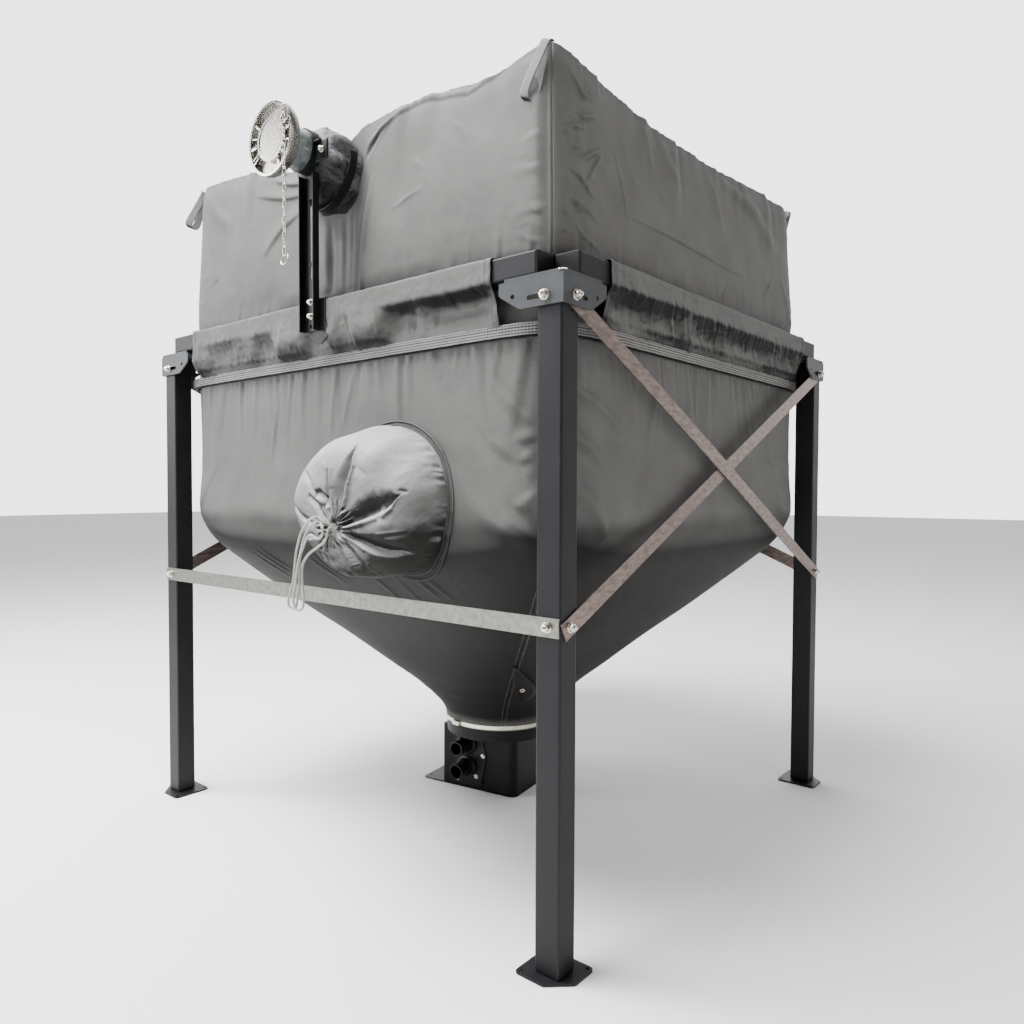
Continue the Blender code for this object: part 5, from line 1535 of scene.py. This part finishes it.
# %% [markdown]
# ## Outlet: screws, nozzle rings and the sewn tab
#
# The take-off box is closed in front by a cover with two hose nozzles, held by pan-head screws
# with a cross slot. Each nozzle has a stop ring and a bead for the hose clamp. A black webbing tab
# with an eyelet is sewn to the funnel beside the corner seam, to pull the bag down tight.

# %% Screws and nozzle beads
OUTLET_TURN, COVER_FACE = 9.6, -0.0825
SCREWS = ((-0.0380, 0.1829), (-0.0114, 0.1175), (-0.0365, 0.0450), (-0.1100, 0.1829),
          (-0.1100, 0.0260))            # x and height
NOZZLE_X, NOZZLES = -0.072, (0.151, 0.075)
NOZZLE_RINGS = ((0.070, 0.0232, 0.0012), (0.052, 0.0240, 0.0013),
                (0.014, 0.0290, 0.0020))        # distance out of the cover, radius, wire


def at_outlet(x, z, out=0.0):
    """The place of a piece on the box's turned front, its top facing forwards."""
    return facing(OUTLET_TURN, x, COVER_FACE - out, z)


head = disc("outlet_screws", 0.0062, 0.0034, round_by=0.0014, segments=3)
pick(head, lambda centre, normal: normal.z > 0.99 and centre.z > 0.003)
inset_and_raise((0.0026, -0.0016))
washer = disc("outlet_screws", 0.0078, 0.0010, round_by=0.0003)
slots = [block("outlet_screws", size, (0, 0, 0.0024), 0.0002, 1)
         for size in ((0.0050, 0.0011, 0.0012), (0.0011, 0.0050, 0.0012))]
screw = joined("outlet_screws", [head, washer] + slots)
smooth_by_angle(screw, 30)
screws = copies(screw, [at_outlet(x, z) @ Matrix.Rotation(x * 40, 4, "Z") for x, z in SCREWS])
dress(joined("outlet_screws", screws), fastener_zinc, "flat_steel")

beads = []
turn = full_turn(48)
for z in NOZZLES:
    for out, radius, wire in NOZZLE_RINGS:
        circle = np.stack([radius * np.cos(turn), radius * np.sin(turn), 0 * turn], axis=1)
        beads.append(tube("nozzle_beads", circle, wire, 8, closed=True))
        beads[-1].data.transform(at_outlet(NOZZLE_X, z, out))
    for number in range(6):             # ribs round the nozzle's root
        beads.append(block("nozzle_beads", (0.0022, 0.0090, 0.0180), (0, 0.0265, 0.0100),
                           0.0006, 1))
        spin = Matrix.Rotation(number * math.pi / 3 + 0.3, 4, "Z")
        beads[-1].data.transform(at_outlet(NOZZLE_X, z) @ spin)
nozzle_beads = joined("nozzle_beads", beads)
smooth_by_angle(nozzle_beads, 40)
dress(nozzle_beads, plastic, "black_plastic")

# %% Webbing tab with its eyelet
def funnel_point(z, degrees, proud):
    """A point on the funnel at a height and an angle, standing proud of the cloth."""
    half, square = resample(LOWER_LEVELS[:, 1:], LOWER_LEVELS[:, 0], [z])[0]
    c, s = math.cos(math.radians(degrees)), math.sin(math.radians(degrees))
    reach = half * (abs(c) ** square + abs(s) ** square) ** (-1 / square) + proud
    return np.array([reach * c, reach * s, z])


TAB = [(0.511, -45.8, 0.003), (0.480, -44.0, 0.016), (0.442, -40.5, 0.026),
       (0.405, -36.5, 0.034), (0.372, -33.5, 0.022), (0.352, -33.0, 0.006)]  # height, angle, width
ACROSS_TAB = ((-1, 0.0030), (-0.5, 0.0085), (0, 0.0100), (0.5, 0.0085), (1, 0.0030))
tab_rows = [[funnel_point(z, degrees, proud) + np.array([1, 1, 0]) * across * wide * 0.72
             for across, proud in ACROSS_TAB] for z, degrees, wide in TAB]
tab_points = smooth_line(np.reshape(tab_rows, (6, 15)), 6).reshape(-1, 5, 3)
tab = cloth_grid("funnel_tab", tab_points, uv=spread_map(
    np.linspace(0, 0.04, 5), np.linspace(0, 0.13, len(tab_points))[:, None]))
thicken = tab.modifiers.new("cloth_thickness", "SOLIDIFY")
thicken.thickness, thicken.offset = 0.0016, 0
dress(settle(tab), strap_finish, "webbing")
nothing_selected()
bpy.ops.mesh.primitive_torus_add(major_radius=0.0062, minor_radius=0.0017, major_segments=32,
                                 minor_segments=10)
eyelet = bpy.context.object
eyelet.name = "tab_eyelet"
tilt = Vector((0.60, -0.50, -0.62)).to_track_quat("Z", "Y").to_matrix().to_4x4()
eyelet.data.transform(Matrix.Translation(Vector(funnel_point(0.4060, -38.8, 0.0115))) @ tilt)
eyelet.data.shade_smooth()
dress(eyelet, fastener_zinc, "bright_band")

# %% [markdown]
# ## The floor
#
# A plain pale floor carries the feet and returns a little light to the funnel. The surrounding is
# that of a studio with a white wall behind the silo: bright on that side, dim behind the camera,
# so the cloth keeps its shades.

# %% Floor and surrounding
BACKDROP = (-0.674, 0.7385, 0.0)        # the direction of the bright wall behind the silo
DIM, BRIGHT = 0.16, 3.4
floor_finish, tree, shader = new_finish("pale_floor", "#e9e9e8", 0.9)       # matt studio floor
nothing_selected()
bpy.ops.mesh.primitive_plane_add(size=60, location=(0, 0, -0.0004))
floor = bpy.context.object
floor.name = "floor"
floor.data.materials.append(floor_finish)
world = bpy.data.worlds.new("pale_studio")
bpy.context.scene.world = world
world.use_nodes = True
tree = world.node_tree
direction = add_node(tree, "TexCoord", {}), "Generated"
away = add_node(tree, "VectorMath", {0: direction, 1: BACKDROP}, operation="DOT_PRODUCT")
glow = add_node(tree, "MapRange", {"Value": (away, "Value"), "From Min": 0.1, "From Max": 0.80,
                                   "To Min": DIM, "To Max": BRIGHT},
                interpolation_type="SMOOTHSTEP")
tree.nodes["Background"].inputs["Color"].default_value = (1, 1, 1, 1)
tree.links.new(glow.outputs["Result"], tree.nodes["Background"].inputs["Strength"])
print("floor and surrounding ready")

# %% [markdown]
